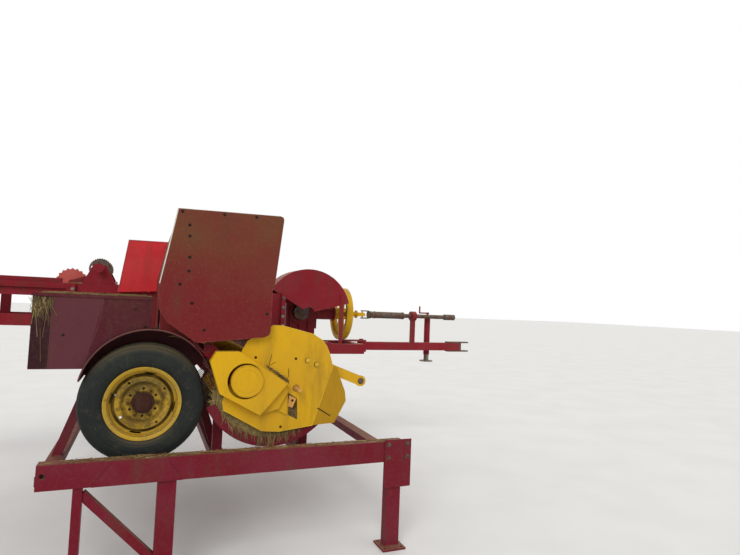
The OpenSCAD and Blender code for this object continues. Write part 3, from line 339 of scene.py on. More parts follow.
def plain_floor():
    s = Surface("floor_pale", "#e2e1de", 0.9)
    s.layer(s.patches(1.6, 3, 0.5, 0.0, 0.3, 0.8), "#dddcd9")
    return s.done(0.001, 0.1)


# Lines on the right side, as forward and up: the guard's fold and the twine box's seam, past which paint lays
# painted shade on the flare and a painted highlight on the box
GUARD_FOLD = ((1.020, -0.178), (1.144, 0.200))
BOX_SEAM = ((-0.236, 0.590), (-0.292, 0.296))

SHIELD = paint("shield_maroon", "#6a181b", "#692a21", 0.42, 0.5, 0.55, PRIMER, rise=(1.62, 2.02, "#653a22"))
MAROON = paint("maroon_paint", "#4d101e", "#54202a", 0.5, 0.6, 0.55)
DARK_MAROON = paint("dark_maroon_paint", "#2c0a13", "#35121a", 0.5, 0.4, 0.4)
# The twine box's maroon, with a painted highlight on one side of the seam
BOX = paint("box_maroon_painted_highlight", "#480c1a", "#4c1823", 0.5, 0.6, 0.55, fold=(*BOX_SEAM, "#5d3238"))
ARCH = paint("arch_maroon", "#4a131d", "#5a2a2a", 0.7, 0.6, 0.8, roughness=0.5)
RED = paint("red_paint", "#7f0f20", "#832730", 0.45, 0.6, 0.6)
BRIGHT = paint("bright_red_paint", "#c81e2b", "#c63a3c", 0.3, 0.5, 0.4)
WHEEL_RED = paint("faded_red_paint", "#bd4a48", "#c06a5c", 0.4, 0.5, 0.5)
STAND = paint("stand_red", "#690b1e", "#6d1f2f", 0.5, 0.65, 0.6, DARK_RUST, 0.42)
YELLOW = paint("yellow_paint", "#d0a00e", "#c5971a", 0.35, 0.5, 0.5)
# The guard's yellow, with painted shade on the flare past the fold
GUARD_YELLOW_SHADED_FLARE = paint("guard_yellow_painted_flare_shade", "#d0a00e", "#c5971a", 0.35, 0.5, 0.5, fold=(*GUARD_FOLD, "#8f690a"))
RIM_YELLOW = rim_paint()
NUT_YELLOW = paint("nut_yellow", "#8d6f1c", "#6d5520", 0.8, 0.4, 0.6, roughness=0.6)
STUD = paint("stud_brown", "#3a2c17", "#4a3519", 0.7, 0.4, 0.6, DARK_RUST, 0.6)
BEAD = paint("arch_bead", "#5e3635", "#553634", 0.6, 0.6, 0.6, roughness=0.5)
HUB_RED = paint("hub_red", "#361510", "#33190f", 0.7, 0.6, 0.7, DARK_RUST, 0.5)
# Near black: dark bolt heads, painted shade in marks and holes, and painted shadow round the guard's pin and
# bolts
DARK = paint("near_black_and_painted_shade", "#1c1611", "#2a1f16", 0.2, 0.1, 0.0, DARK_RUST, 0.8)
# Pale edge tubes: worn bare metal, and painted highlight
PALE = paint("worn_edge_and_highlight", "#d6d1c6", "#bdb4a6", 0.2, 0.3, 0.3, roughness=0.4)
LUG_TAN = paint("worn_tan", "#d29a4c", "#b98a4a", 0.3, 0.3, 0.3)
# Rose edge tube on the inner panel: worn paint, and painted highlight
ROSE = paint("worn_red_edge_and_highlight", "#b9706c", "#a45a57", 0.2, 0.3, 0.3)
# Pale yellow: painted bolt heads on the guard, and painted highlight along the guard's edges
EDGE_YELLOW = paint("pale_yellow_paint_and_highlight", "#dfb83a", "#d2aa34", 0.2, 0.3, 0.3)
SEAM = paint("seam_edge", "#6d3e42", "#5f3338", 0.3, 0.3, 0.3, roughness=0.5)
STEEL = bare_steel("worn_steel", "#8a8780")
DARK_STEEL = bare_steel("dark_steel", "#5b5650", 0.75, 0.5, 0.6)
BRIGHT_STEEL = bare_steel("bright_steel", "#a7a5a0", 0.25, 0.3, 0.9)
TYRE = rubber("tyre_rubber", "#101514")
HAY = hay("loose_hay", "#a18a52", "#645330")
OLD_HAY = hay("old_hay", "#6d5834", "#3f301b")
HAY_BED = hay("hay_bed", "#4f4226", "#382d18")

# Nodes that aren't named here are red
FINISHES = (
    (SHIELD, ("side_shield", "feeder_hood", "feeder_pan")),
    (BOX, ("twine_box",)),
    (MAROON, ("twine_box_lid", "connecting_rod")),
    (ARCH, ("wheel_arch",)),
    (BRIGHT, ("inner_panel",)),
    (WHEEL_RED, ("metering_wheel",)),
    (GUARD_YELLOW_SHADED_FLARE, ("pickup_guard",)),
    (YELLOW, ("pickup_cover", "pickup_arm", "pickup_strippers", "feeder_rotor_right",
              "feeder_rotor_left", "flywheel")),
    (RIM_YELLOW, ("rim_right", "rim_left")),
    (HUB_RED, ("hub_right", "hub_left")),
    (TYRE, ("tyre_right", "tyre_left")),
    (STEEL, ("tension_springs", "pickup_reel", "jack_leg")),
    (DARK_STEEL, ("knotters", "needle_yoke", "crank_arm", "wind_guard", "hitch_clevis", "driveline")),
    (BRIGHT_STEEL, ("plunger",)),
    (STAND, ("stand_beams", "stand_legs", "stand_struts", "stand_pan")),
)


def finish_nodes():
    surface_of = {name: surface for surface, names in FINISHES for name in names}
    for name, node in nodes.items():
        surface = surface_of.get(name, RED)
        if not node.material_slots:
            node.data.materials.append(surface)
        for slot in node.material_slots:
            slot.material = surface


# Pieces

def from_bmesh(name, bm, smooth_angle=None):
    mesh = bpy.data.meshes.new(name)
    bm.normal_update()
    bm.to_mesh(mesh)
    bm.free()
    if smooth_angle is not None:
        mesh.shade_smooth()
        mesh.set_sharp_from_angle(angle=math.radians(smooth_angle))
    return mesh


def add_piece(name, bm, surface, body, smooth_angle=None):
    mesh = from_bmesh(name, bm, smooth_angle)
    mesh.materials.append(surface)
    piece = bpy.data.objects.new(name, mesh)
    bpy.context.scene.collection.objects.link(piece)
    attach(piece, body)
    return piece


def facing(direction):
    return Vector(direction).to_track_quat("Z", "Y").to_matrix().to_4x4()


def side_face(inward):
    """Turns forward, up and out of a right side face into a place."""
    upright = Matrix(((1, 0, 0, 0), (0, 0, -1, 0), (0, 1, 0, 0), (0, 0, 0, 1)))
    return Matrix.Translation(spot(0, inward, 0)) @ upright


def laid(face, outline, above=0.0):
    return [face @ Vector((f, u, above)) for f, u in outline]


def stood(face, f, u, above=0.0):
    return face @ Matrix.Translation((f, u, above))


def bridge(bm, a, b):
    """Faces between two closed rings of as many points."""
    for corners in zip(a, a[1:] + a[:1], b[1:] + b[:1], b):
        bm.faces.new(corners)


def turned(bm, profile, steps, matrix):
    """A closed body of revolution about Z from points of radius and height that start and end on the axis."""
    rings = []
    for r, z in profile:
        around = [(0, 0)] if r == 0 else circle(r, steps)
        rings.append([bm.verts.new(matrix @ Vector((x, y, z))) for x, y in around])
    for a, b in zip(rings, rings[1:]):
        if len(a) == len(b):
            bridge(bm, a, b)
            continue
        for k in range(steps):
            n = (k + 1) % steps
            bm.faces.new((a[0], b[n], b[k]) if len(a) == 1 else (a[k], a[n], b[0]))


def disc(bm, r, low, high, steps, matrix):
    turned(bm, [(0, low), (r, low), (r, high), (0, high)], steps, matrix)


def knob(bm, r, low, shoulder, top_r, top, steps, matrix):
    """A disc whose upper edge is chamfered."""
    turned(bm, [(0, low), (r, low), (r, shoulder), (top_r, top), (0, top)], steps, matrix)


def bolt(bm, at, direction, r, turn=0.0):
    """A hexagon head on a washer, standing on a face."""
    stand = Matrix.Translation(at) @ facing(direction) @ Matrix.Rotation(turn, 4, "Z")
    knob(bm, 1.75 * r, -0.001, 0.14 * r, 1.66 * r, 0.22 * r, 20, stand)
    knob(bm, 1.15 * r, 0.15 * r, 0.85 * r, 0.97 * r, 1.05 * r, 6, stand)


def bolts(name, body, places, direction, r, surface=STEEL):
    rng = random.Random(name)
    bm = bmesh.new()
    for at in places:
        bolt(bm, at, direction, r, rng.uniform(0, math.pi / 3))
    add_piece(name, bm, surface, body, 35)


def on_circle(centre, axis, radius, count, start=0.0):
    turn = facing(axis)
    return [Vector(centre) + turn @ Vector((x, y, 0)) for x, y in circle(radius, count, start)]


def strand(bm, at, yaw, pitch, length, r, bend, roll):
    """A straw: a thin bent prism of three sides."""
    heading = Vector((math.cos(yaw) * math.cos(pitch), math.sin(yaw) * math.cos(pitch), math.sin(pitch)))
    across = heading.cross(Vector((0, 0, 1))).normalized()
    above = across.cross(heading)
    steps = 3
    rings = []
    for i in range(steps + 1):
        t = i / steps - 0.5
        middle = at + heading * (t * length) + across * (bend * (0.25 - t * t) * length)
        rings.append([bm.verts.new(middle + across * x + above * y) for x, y in circle(r, 3, roll)])
    for a, b in zip(rings, rings[1:]):
        bridge(bm, a, b)
    bm.faces.new(reversed(rings[0]))
    bm.faces.new(rings[-1])


def straw_on(name, body, low, high, count, heap=0.006, lengths=(0.05, 0.16)):
    """Loose straw on a level patch between two corners."""
    rng = random.Random(name)
    bm = bmesh.new()
    for _ in range(count):
        length = rng.uniform(*lengths)
        yaw = rng.uniform(0, math.pi)
        reach_x = abs(math.cos(yaw)) * length / 2
        reach_y = abs(math.sin(yaw)) * length / 2
        if high.x - low.x <= 2 * reach_x or high.y - low.y <= 2 * reach_y:
            continue
        r = rng.uniform(0.0008, 0.0016)
        at = Vector((rng.uniform(low.x + reach_x, high.x - reach_x),
                     rng.uniform(low.y + reach_y, high.y - reach_y),
                     low.z + r + heap * rng.random() ** 2))
        strand(bm, at, yaw, rng.uniform(-0.03, 0.03), length, r, rng.uniform(-0.5, 0.5), rng.uniform(0, 2))
    add_piece(name, bm, HAY, body)


def plate(bm, outline, low, high, face):
    """A flat plate of an outline between two levels above a face."""
    area = sum(a[0] * b[1] - b[0] * a[1] for a, b in zip(outline, outline[1:] + outline[:1]))
    points = outline if area > 0 else outline[::-1]
    under = [bm.verts.new(at) for at in laid(face, points, low)]
    over = [bm.verts.new(at) for at in laid(face, points, high)]
    bm.faces.new(under[::-1])
    bm.faces.new(over)
    bridge(bm, under, over)


def tube(bm, points, r, sides=10, ripple=0.0, closed=False):
    """A round rod through points; a ripple makes it a weld bead."""
    count = len(points)
    rings = []
    across = None
    for i, p in enumerate(points):
        before = points[i - 1] if i > 0 or closed else points[i]
        after = points[(i + 1) % count] if i < count - 1 or closed else points[i]
        along = (after - before).normalized()
        if across is None:
            across = along.orthogonal().normalized()
        across = (across - along * across.dot(along)).normalized()
        up = along.cross(across)
        size = r * (1 + ripple * (1 if i % 2 else -1))
        rings.append([bm.verts.new(p + across * x + up * y) for x, y in circle(size, sides)])
    for a, b in list(zip(rings, rings[1:])) + ([(rings[-1], rings[0])] if closed else []):
        bridge(bm, a, b)
    if not closed:
        bm.faces.new(rings[0][::-1])
        bm.faces.new(rings[-1])


WELD_STEP = 0.007
WELD_RIPPLE = 0.16


def weld(bm, a, b, r=0.004):
    a, b = Vector(a), Vector(b)
    steps = max(2, int((b - a).length / WELD_STEP))
    tube(bm, [a.lerp(b, i / steps) for i in range(steps + 1)], r, 6, WELD_RIPPLE)


def circle_weld(bm, centre, axis, radius, r):
    steps = int(2 * math.pi * radius / WELD_STEP) // 2 * 2
    tube(bm, on_circle(centre, axis, radius, steps), r, 6, WELD_RIPPLE, True)


def ring_of(bm, profile, steps, matrix):
    """A closed ring about Z from a closed profile of radius and height."""
    rings = [[bm.verts.new(matrix @ Vector((r * x, r * y, z))) for r, z in profile]
             for x, y in circle(1, steps)]
    for a, b in zip(rings, rings[1:] + rings[:1]):
        for corners in zip(a, b, b[1:] + b[:1], a[1:] + a[:1]):
            bm.faces.new(corners)


# Bolts of the panels, as forward and up from the wheel
SHIELD_BOLTS = [(0.193, 1.043), (0.197, 0.978), (0.204, 0.853), (0.203, 0.771), (0.231, 0.583),
                (0.308, 0.426), (0.677, 0.533), (0.158, 0.691), (0.148, 1.120), (0.389, 1.126),
                (0.582, 1.131)]
GUARD_BOLTS = [(0.969, 0.240), (1.032, 0.214)]
GUARD_SCREWS = [(0.890, 0.252), (0.632, 0.260), (0.811, -0.176)]
BOX_BOLTS = [(-0.423, 0.381), (-0.071, 0.533), (-0.012, 0.435)]
GUARD_PAD_FACE = GUARD_FACE - 0.0015


def panel_bolts():
    for name, body, inward, places, r, surface, slot in (
            ("shield_bolts", "root", SHIELD_FACE, SHIELD_BOLTS, 0.0052, DARK, "bare_steel"),
            ("guard_bolts", "pickup", GUARD_PAD_FACE, GUARD_BOLTS, 0.0088, EDGE_YELLOW, "yellow_paint"),
            ("guard_screws", "pickup", GUARD_FACE, GUARD_SCREWS, 0.0048, DARK, "bare_steel"),
            ("box_bolts", "root", BOX_FACE, BOX_BOLTS, 0.0042, DARK, "bare_steel")):
        bolts(name, body, laid(side_face(inward), places), TO_RIGHT, r, surface)


WORN_EDGE_R = 0.0034
SHIELD_REAR = [(0.1245, 1.136), (0.0855, 0.905), (0.0475, 0.690)]
SHIELD_TOP = [(0.128, 1.1365), (0.43, 1.1445), (0.735, 1.1525)]
INNER_PANEL_EDGE = [(-0.2492, 0.651), (-0.190, 1.1102), (0.270, 1.1182), (0.737, 1.1262)]
INNER_PANEL_FACE = 1.8055


def shield_trim():
    """Pale edges of the shield and of the inner panel: worn paint and bare metal, and painted highlight."""
    face = side_face(SHIELD_FACE)
    bm = bmesh.new()
    tube(bm, laid(face, SHIELD_REAR, -0.001), WORN_EDGE_R, 8)
    tube(bm, laid(face, SHIELD_TOP, -0.001), 0.0016, 8)
    add_piece("shield_edge", bm, PALE, "root", 40)
    bm = bmesh.new()
    tube(bm, laid(side_face(INNER_PANEL_FACE), INNER_PANEL_EDGE), WORN_EDGE_R, 8)
    add_piece("panel_edge", bm, ROSE, "root", 40)


def box_trim():
    """Seams of the twine box and the darker sheet at its rear end."""
    face = side_face(BOX_FACE)
    bm = bmesh.new()
    plate(bm, [(-0.577, 0.200), (-0.484, 0.200), (-0.487, 0.595), (-0.577, 0.595)], -0.001, 0.0012, face)
    add_piece("box_rear_sheet", bm, DARK_MAROON, "root")
    bm = bmesh.new()
    tube(bm, laid(face, [(-0.485, 0.202), (-0.485, 0.592)], 0.0012), 0.0014, 8)
    seam = [BOX_SEAM[0], (-0.241, 0.530), (-0.249, 0.465), (-0.262, 0.405), (-0.279, 0.350), (-0.300, 0.296)]
    tube(bm, laid(face, seam, 0.0002), 0.0013, 8)
    add_piece("box_seams", bm, SEAM, "root", 40)


ARCH_CENTRE = (0.020, 0.060)
ARCH_EDGE_R = 0.3605
ARCH_ENDS = (48, 168.5)
ARCH_STEPS = 80


def arch_trim():
    """The rolled outer edge of the wheel arch."""
    first, last = ARCH_ENDS
    points = []
    for k in range(ARCH_STEPS + 1):
        a = math.radians(first + (last - first) * k / ARCH_STEPS)
        points.append(spot(ARCH_CENTRE[0] + ARCH_EDGE_R * math.cos(a), 0.0015,
                           ARCH_CENTRE[1] + ARCH_EDGE_R * math.sin(a)))
    bm = bmesh.new()
    tube(bm, points, 0.0046, 10)
    add_piece("arch_bead", bm, BEAD, "root", 40)


def slotted(centre, length, width, angle, corner):
    """The outline of a turned rectangle with rounded corners."""
    points = []
    for sx, sy, start in ((1, 1, 0), (-1, 1, 90), (-1, -1, 180), (1, -1, 270)):
        for k in range(5):
            a = math.radians(start + k * 22.5)
            x = sx * (length / 2 - corner) + corner * math.cos(a)
            y = sy * (width / 2 - corner) + corner * math.sin(a)
            points.append((centre[0] + x * math.cos(angle) - y * math.sin(angle),
                           centre[1] + x * math.sin(angle) + y * math.cos(angle)))
    return points


# Places on the guard and its drive cover, as forward and up
COVER_BOSS = (0.577, 0.122)
BOSS_FACE = 0.0695
PIN_AT = (0.900, 0.064)
ARM_BUSH_AT = (1.349, 0.101)
FLARE_ANGLE = math.radians(14)
# Marks pressed into the guard, drawn dark as painted shade: two ends and half a width
GUARD_MARKS = (((0.733, 0.281), (0.717, 0.213), 0.0016), ((0.844, 0.189), (0.848, 0.135), 0.0016),
               ((1.050, -0.067), (1.131, -0.116), 0.0034), ((0.702, 0.197), (0.760, 0.232), 0.0012))
GUARD_LOWER_EDGE = [(0.443, -0.004), (0.454, -0.060), (0.692, -0.196), (0.802, -0.205), GUARD_FOLD[0]]
GUARD_UPPER_EDGE = [GUARD_FOLD[1], (1.116, 0.291), (1.092, 0.340), (1.064, 0.373), (0.999, 0.411),
                    (0.789, 0.462)]


def on_flare(face, f, u, above=0.0):
    """A place on the guard, which rises out of its plane past the fold."""
    (af, au), (bf, bu) = GUARD_FOLD
    past = ((f - af) * (bu - au) - (u - au) * (bf - af)) / math.hypot(bf - af, bu - au)
    return face @ Vector((f, u, max(0.0, past) * math.tan(FLARE_ANGLE) + above))


def guard_plates(face):
    bm = bmesh.new()
    tilt = math.atan2(-0.026, 0.063)
    plate(bm, slotted((1.0005, 0.227), 0.128, 0.050, tilt, 0.02), -0.0005, 0.0016, face)
    plate(bm, [(0.673, -0.092), (0.789, -0.056), (0.842, 0.046), (0.828, 0.100)], 0.024, 0.027, face)
    plate(bm, [(0.760, -0.060), (0.842, 0.044), (0.846, -0.104)], 0.006, 0.009, face)
    for radius, above, r, sides in ((0.0945, BOSS_FACE, 0.0035, 8), (0.070, BOSS_FACE + 0.0002, 0.0012, 6)):
        rim = [(COVER_BOSS[0] + x, COVER_BOSS[1] + y) for x, y in circle(radius, 72)]
        tube(bm, laid(face, rim, above), r, sides, 0.0, True)
    add_piece("guard_plates", bm, YELLOW, "pickup", 35)


def guard_lug(face):
    bm = bmesh.new()
    plate(bm, [(0.858, 0.020), (0.906, -0.002), (0.882, -0.060), (0.8525, -0.050)], -0.0045, -0.0005, face)
    add_piece("guard_lug", bm, LUG_TAN, "pickup", 35)


def guard_painted_shade(face):
    """Painted shade in the pressed marks and the lug's hole, and painted shadow as dark rings round the pin's
    foot and, set to the left, round the bolts.
    """
    bm = bmesh.new()
    for a, b, r in GUARD_MARKS:
        tube(bm, [on_flare(face, *a), on_flare(face, *b, 0.0008)], r, 6)
    disc(bm, 0.0085, -0.001, 0.0004, 20, stood(face, 0.880, -0.014, -0.0005))
    disc(bm, 0.0215, -0.001, 0.0006, 24, stood(face, *PIN_AT))
    for f, u in GUARD_BOLTS:
        disc(bm, 0.0182, 0.001, 0.0022, 24, stood(face, f - 0.002, u))
    add_piece("guard_painted_shade", bm, DARK, "pickup", 35)


def guard_edge_highlights(face):
    # Pale yellow tubes along the guard's edges, its fold and one more line: painted highlight
    bm = bmesh.new()
    tube(bm, laid(face, [(0.911, 0.012), (1.050, -0.067)]), 0.0017, 6)
    for edge in (GUARD_LOWER_EDGE, GUARD_UPPER_EDGE):
        tube(bm, laid(face, edge, -0.001), 0.0022, 8)
    tube(bm, laid(face, GUARD_FOLD), 0.0016, 8)
    add_piece("guard_edge_highlights", bm, EDGE_YELLOW, "pickup", 35)


def guard_pin(face):
    bm = bmesh.new()
    knob(bm, 0.0130, 0.001, 0.0990, 0.0110, 0.1020, 24, stood(face, *PIN_AT))
    disc(bm, 0.0195, 0, 0.006, 6, stood(face, *PIN_AT))
    add_piece("guard_pin", bm, LUG_TAN, "pickup", 35)


def arm_bush():
    bm = bmesh.new()
    knob(bm, 0.0215, -0.018, 0.0015, 0.019, 0.003, 28, stood(side_face(0.033), *ARM_BUSH_AT))
    add_piece("arm_bush", bm, DARK_STEEL, "pickup", 35)


def guard_trim():
    face = side_face(GUARD_FACE)
    for build in (guard_plates, guard_lug, guard_painted_shade, guard_edge_highlights, guard_pin):
        build(face)
    arm_bush()


# Wheels: side, way out and half the rim's width; the grooves' half widths at floor and top
WHEELS = (("right", -1, 0.1075), ("left", 1, 0.128))
TYRE_SEAT_R = 0.1884
SQUARENESS = 2.7
TREAD_STEP = 0.0058
GROOVE_DEPTH = 0.008
GROOVE_FLOOR = 0.0036
GROOVE_TOP = 0.0046


def tyre_profile(outer, width, seat, rim_half):
    """Radius and height round the tyre's section, from the crown over the side to the bead and back."""
    middle = (outer + seat) / 2
    tall = (outer - seat) / 2
    power = 2.0 / SQUARENESS
    grooves = [0.09 * width, 0.27 * width]
    half = []
    z = 0.0
    while z < 0.36 * width:
        flat = middle + tall * (1 - (z / (width / 2)) ** SQUARENESS) ** (1 / SQUARENESS)
        inside = any(abs(z - g) < (GROOVE_FLOOR + GROOVE_TOP) / 2 for g in grooves)
        half.append((flat - (GROOVE_DEPTH if inside else 0.0), z))
        step = TREAD_STEP
        for g in grooves:
            for edge in (g - GROOVE_TOP, g - GROOVE_FLOOR, g + GROOVE_FLOOR, g + GROOVE_TOP):
                if z + 1e-6 < edge < z + step:
                    step = edge - z
        z += step
    a = math.acos((z / (width / 2)) ** (1 / power))
    while a > math.radians(-36):
        degrees = math.degrees(a)
        out = 0.0
        if 36 < degrees < 44:
            out = 0.0022
        elif 2 < degrees < 4 or -18 < degrees < -15:
            out = -0.0014
        c, s = math.cos(a), math.sin(a)
        half.append((middle + tall * math.copysign(abs(s) ** power, s) + out * s,
                     width / 2 * math.copysign(abs(c) ** power, c) + out * c))
        a -= math.radians(2.0)
    half += [(seat + 0.018, rim_half - 0.0075), (seat, rim_half - 0.0115), (seat, rim_half - 0.046),
             (seat + 0.006, rim_half - 0.0675)]
    return half + [(r, -z) for r, z in half[:0:-1]]


def tyres():
    for side, out, rim_half in WHEELS:
        name = "tyre_" + side
        low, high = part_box(name)
        profile = tyre_profile((high.z - low.z) / 2, high.y - low.y, TYRE_SEAT_R, rim_half)
        place = Matrix.Translation(joint_at["wheel_" + side + "_spin"]) @ facing((0, out, 0))
        bm = bmesh.new()
        ring_of(bm, profile, 128, place)
        piece = add_piece(name + "_rubber", bm, TYRE, "wheel_" + side, 28)
        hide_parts(name)


WHEEL_BOLTS = 6
WHEEL_BOLT_CIRCLE_R = 0.078
DISC_INSET = 0.034
VALVE_ANGLE = 160
RIM_JOIN_ANGLES = (-92.4, -88.2)


def wheel_trim():
    """Welds, valve, nuts, studs and hub cap of each wheel."""
    for side, out, rim_half in WHEELS:
        body = "wheel_" + side
        centre = joint_at[body + "_spin"]
        outward = facing((0, out, 0))
        disc_y = rim_half - DISC_INSET

        def at(angle, radius, level):
            a = math.radians(angle)
            return centre + Vector((radius * math.cos(a), out * level, radius * math.sin(a)))

        bm = bmesh.new()
        circle_weld(bm, at(0, 0, disc_y - 0.013), (0, out, 0), 0.1795, 0.0035)
        for angle in RIM_JOIN_ANGLES:
            weld(bm, at(angle, 0.1835, rim_half - 0.0085), at(angle, 0.2055, rim_half - 0.001), 0.0022)
        add_piece("rim_welds_" + side, bm, RIM_YELLOW, body, 40)

        bm = bmesh.new()
        for r, stations in ((0.0042, ((0.158, -0.016), (0.156, 0.004), (0.153, 0.022))),
                            (0.0056, ((0.153, 0.021), (0.1525, 0.029)))):
            tube(bm, [at(VALVE_ANGLE, radius, disc_y + level) for radius, level in stations], r, 10)
        add_piece("valve_" + side, bm, BRIGHT_STEEL, body, 40)

        for name, level, shape, surface, slot in (
                ("wheel_nuts_", -0.0215, (0.0138, 0, 0.012, 0.0112, 0.0146, 6), NUT_YELLOW, "yellow_paint"),
                ("wheel_studs_", -0.010, (0.0076, 0, 0.0135, 0.0062, 0.0150, 12), STUD, "bare_steel")):
            bm = bmesh.new()
            for k in range(WHEEL_BOLTS):
                foot = at(360 / WHEEL_BOLTS * k, WHEEL_BOLT_CIRCLE_R, disc_y + level)
                knob(bm, *shape, Matrix.Translation(foot) @ outward)
            add_piece(name + side, bm, surface, body, 32)

        bm = bmesh.new()
        turned(bm, [(0, -0.002), (0.0385, -0.002), (0.0385, 0.012), (0.034, 0.018), (0.012, 0.0205),
                    (0, 0.021)], 40, Matrix.Translation(at(0, 0, disc_y - 0.018)) @ outward)
        add_piece("hub_cap_" + side, bm, HUB_RED, body, 32)


CASE_BOLT_ROWS = (-1.730, -1.170, -0.600, 0.780, 1.230)
CASE_BOLT_LEVELS = (0.385, 0.475, 0.565, 0.655)
CASE_WELD_ROWS = (-1.750, -1.710, -1.190, -1.150, -0.620, -0.580, 0.760, 0.800)
CASE_WALL_INSET = 0.028


def case_bolts():
    """Rows of bolts down the case's ribs on both sides."""
    low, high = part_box("bale_case")
    for side, y, way in (("right", low.y, TO_RIGHT), ("left", high.y, TO_LEFT)):
        places = [point(forward, y, up) for forward in CASE_BOLT_ROWS for up in CASE_BOLT_LEVELS]
        bolts("case_bolts_" + side, "root", places, way, 0.009)


def case_welds():
    low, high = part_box("bale_case")
    bm = bmesh.new()
    for y in (low.y + CASE_WALL_INSET, high.y - CASE_WALL_INSET):
        for forward in CASE_WELD_ROWS:
            for foot, head in ((0.345, 0.400), (0.520, 0.580)):
                weld(bm, point(forward, y, foot), point(forward, y, head))
    add_piece("case_welds", bm, RED, "root", 50)


BEAM_HEIGHT = 0.130
BEAM_WIDTH = 0.080
FAR_BEAM_INSET = 0.005
FOOT_TOP = 0.0125
LEG_HALF = 0.030
# Legs as start and length; cross members and struts as starts and middles
LEGS = ((-0.310, 0.045), (0.100, 0.100), (1.500, 0.100))
CROSS_STARTS = (-0.492, 0.412, 0.960, 1.500)
CROSS_LENGTH = 0.080
CROSS_HEIGHT = 0.054
STRUT_MIDDLES = (-0.449, 0.449)
END_PLATE = [(1.471, -0.261), (1.663, -0.261), (1.663, -0.568), (1.471, -0.568)]
END_PLATE_BOLTS = [(f, u) for f in (1.500, 1.634) for u in (-0.292, -0.374)]
END_PLATE_THICK = 0.006


def stand_trim():
    """Weld beads of the stand, and the bolted plates at its front legs."""
    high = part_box("stand_beams")[1]
    under = high.z - BEAM_HEIGHT
    far_inward = high.y - FAR_BEAM_INSET - RIM_FACE_Y
    leg_ends = (under - 0.001, FOOT_TOP)
    top = under + CROSS_HEIGHT
    bm = bmesh.new()
    for face, way in ((BEAM_FACE, 1), (far_inward, -1)):
        outer = RIM_FACE_Y + face
        inner = outer + way * BEAM_WIDTH
        y0, y1 = (inner + outer) / 2 - LEG_HALF, (inner + outer) / 2 + LEG_HALF
        for start, length in LEGS:
            x0, x1 = AXLE.x + start, AXLE.x + start + length
            for y in (y0, y1):
                for z in leg_ends:
                    weld(bm, (x0, y, z), (x1, y, z))
            for x in (x0, x1):
                for z in leg_ends:
                    weld(bm, (x, y0, z), (x, y1, z))
        for start in CROSS_STARTS:
            x0, x1 = AXLE.x + start, AXLE.x + start + CROSS_LENGTH
            weld(bm, (x0, inner, top), (x1, inner, top))
            for x in (x0, x1):
                weld(bm, (x, inner, under + 0.001), (x, inner, top - 0.001))
    low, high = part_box("stand_struts")
    for y in (low.y, low.y + 0.040, high.y - 0.040, high.y):
        for middle in STRUT_MIDDLES:
            x = AXLE.x + middle
            weld(bm, (x - 0.026, y, under + 0.055), (x + 0.026, y, under + 0.055))
    add_piece("stand_welds", bm, STAND, "root", 50)

    bm = bmesh.new()
    plate(bm, END_PLATE, -0.0005, END_PLATE_THICK, side_face(BEAM_FACE))
    plate(bm, END_PLATE, -END_PLATE_THICK, 0.0005, side_face(far_inward))
    add_piece("end_plates", bm, STAND, "root")
    for name, inward, way in (("end_plate_bolts", BEAM_FACE - END_PLATE_THICK, TO_RIGHT),
                              ("end_plate_bolts_far", far_inward + END_PLATE_THICK, TO_LEFT)):
        bolts(name, "root", laid(side_face(inward), END_PLATE_BOLTS), way, 0.009, DARK_STEEL)


DRUM_AT = (1.500, 0.518)
OIL_CAP_AT = (1.62, 0.688)
PINION_FORWARD = 1.900
FLYWHEEL_HUB_FORWARD = 2.046
SHAFT_COLLARS = (2.345, 2.400, 2.760)
SPLINES_FORWARD = 2.790
SPLINE_LENGTH = 0.075


def drive_trim():
    """Cover bolts of the gearbox and the flywheel, and collars and splines of the shaft."""
    drum = point(DRUM_AT[0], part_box("gearbox")[1].y, DRUM_AT[1])
    bolts("gearbox_bolts", "root", on_circle(drum, TO_LEFT, 0.103, 10), TO_LEFT, 0.008)
    axis = joint_at["flywheel_spin"]
    pinion = Vector((AXLE.x + PINION_FORWARD, axis.y, axis.z))
    bolts("pinion_bolts", "root", on_circle(pinion, FORWARD, 0.0765, 8, 0.2), FORWARD, 0.0055)
    bm = bmesh.new()
    turned(bm, [(0, -0.001), (0.018, -0.001), (0.018, 0.012), (0.011, 0.014), (0.011, 0.030), (0, 0.030)], 20,
           Matrix.Translation(point(OIL_CAP_AT[0], drum.y - 0.10, OIL_CAP_AT[1])))
    turned(bm, [(0, -0.001), (0.052, -0.001), (0.052, 0.004), (0.046, 0.008), (0, 0.009)], 36,
           Matrix.Translation(drum) @ facing(TO_LEFT))
    add_piece("gearbox_caps", bm, DARK_STEEL, "root", 35)
    hub = Vector((AXLE.x + FLYWHEEL_HUB_FORWARD, axis.y, axis.z))
    bolts("flywheel_bolts", "flywheel", on_circle(hub, FORWARD, 0.045, 6), FORWARD, 0.007)

    shaft = joint_at["shaft_spin"]
    bm = bmesh.new()
    for forward in SHAFT_COLLARS:
        ring_of(bm, [(0.0375, -0.006), (0.0425, -0.004), (0.0425, 0.004), (0.0375, 0.006)], 40,
                Matrix.Translation(Vector((AXLE.x + forward, shaft.y, shaft.z))) @ facing(FORWARD))
    for y, z in circle(0.0238, 6):
        start = Vector((AXLE.x + SPLINES_FORWARD, shaft.y + y, shaft.z + z))
        tube(bm, [start, start + Vector((SPLINE_LENGTH, 0, 0))], 0.0022, 8)
    add_piece("shaft_collars", bm, DARK_STEEL, "shaft", 35)


TINE_BARS = 4
TINE_BAR_CIRCLE_R = 0.112
TINE_PITCH = 0.072
FIRST_TINE = 0.090
COIL_R = 0.0158
COIL_WIRE_R = 0.0026
COIL_OFFSETS = (-0.006, -0.0118, 0.006, 0.0118)


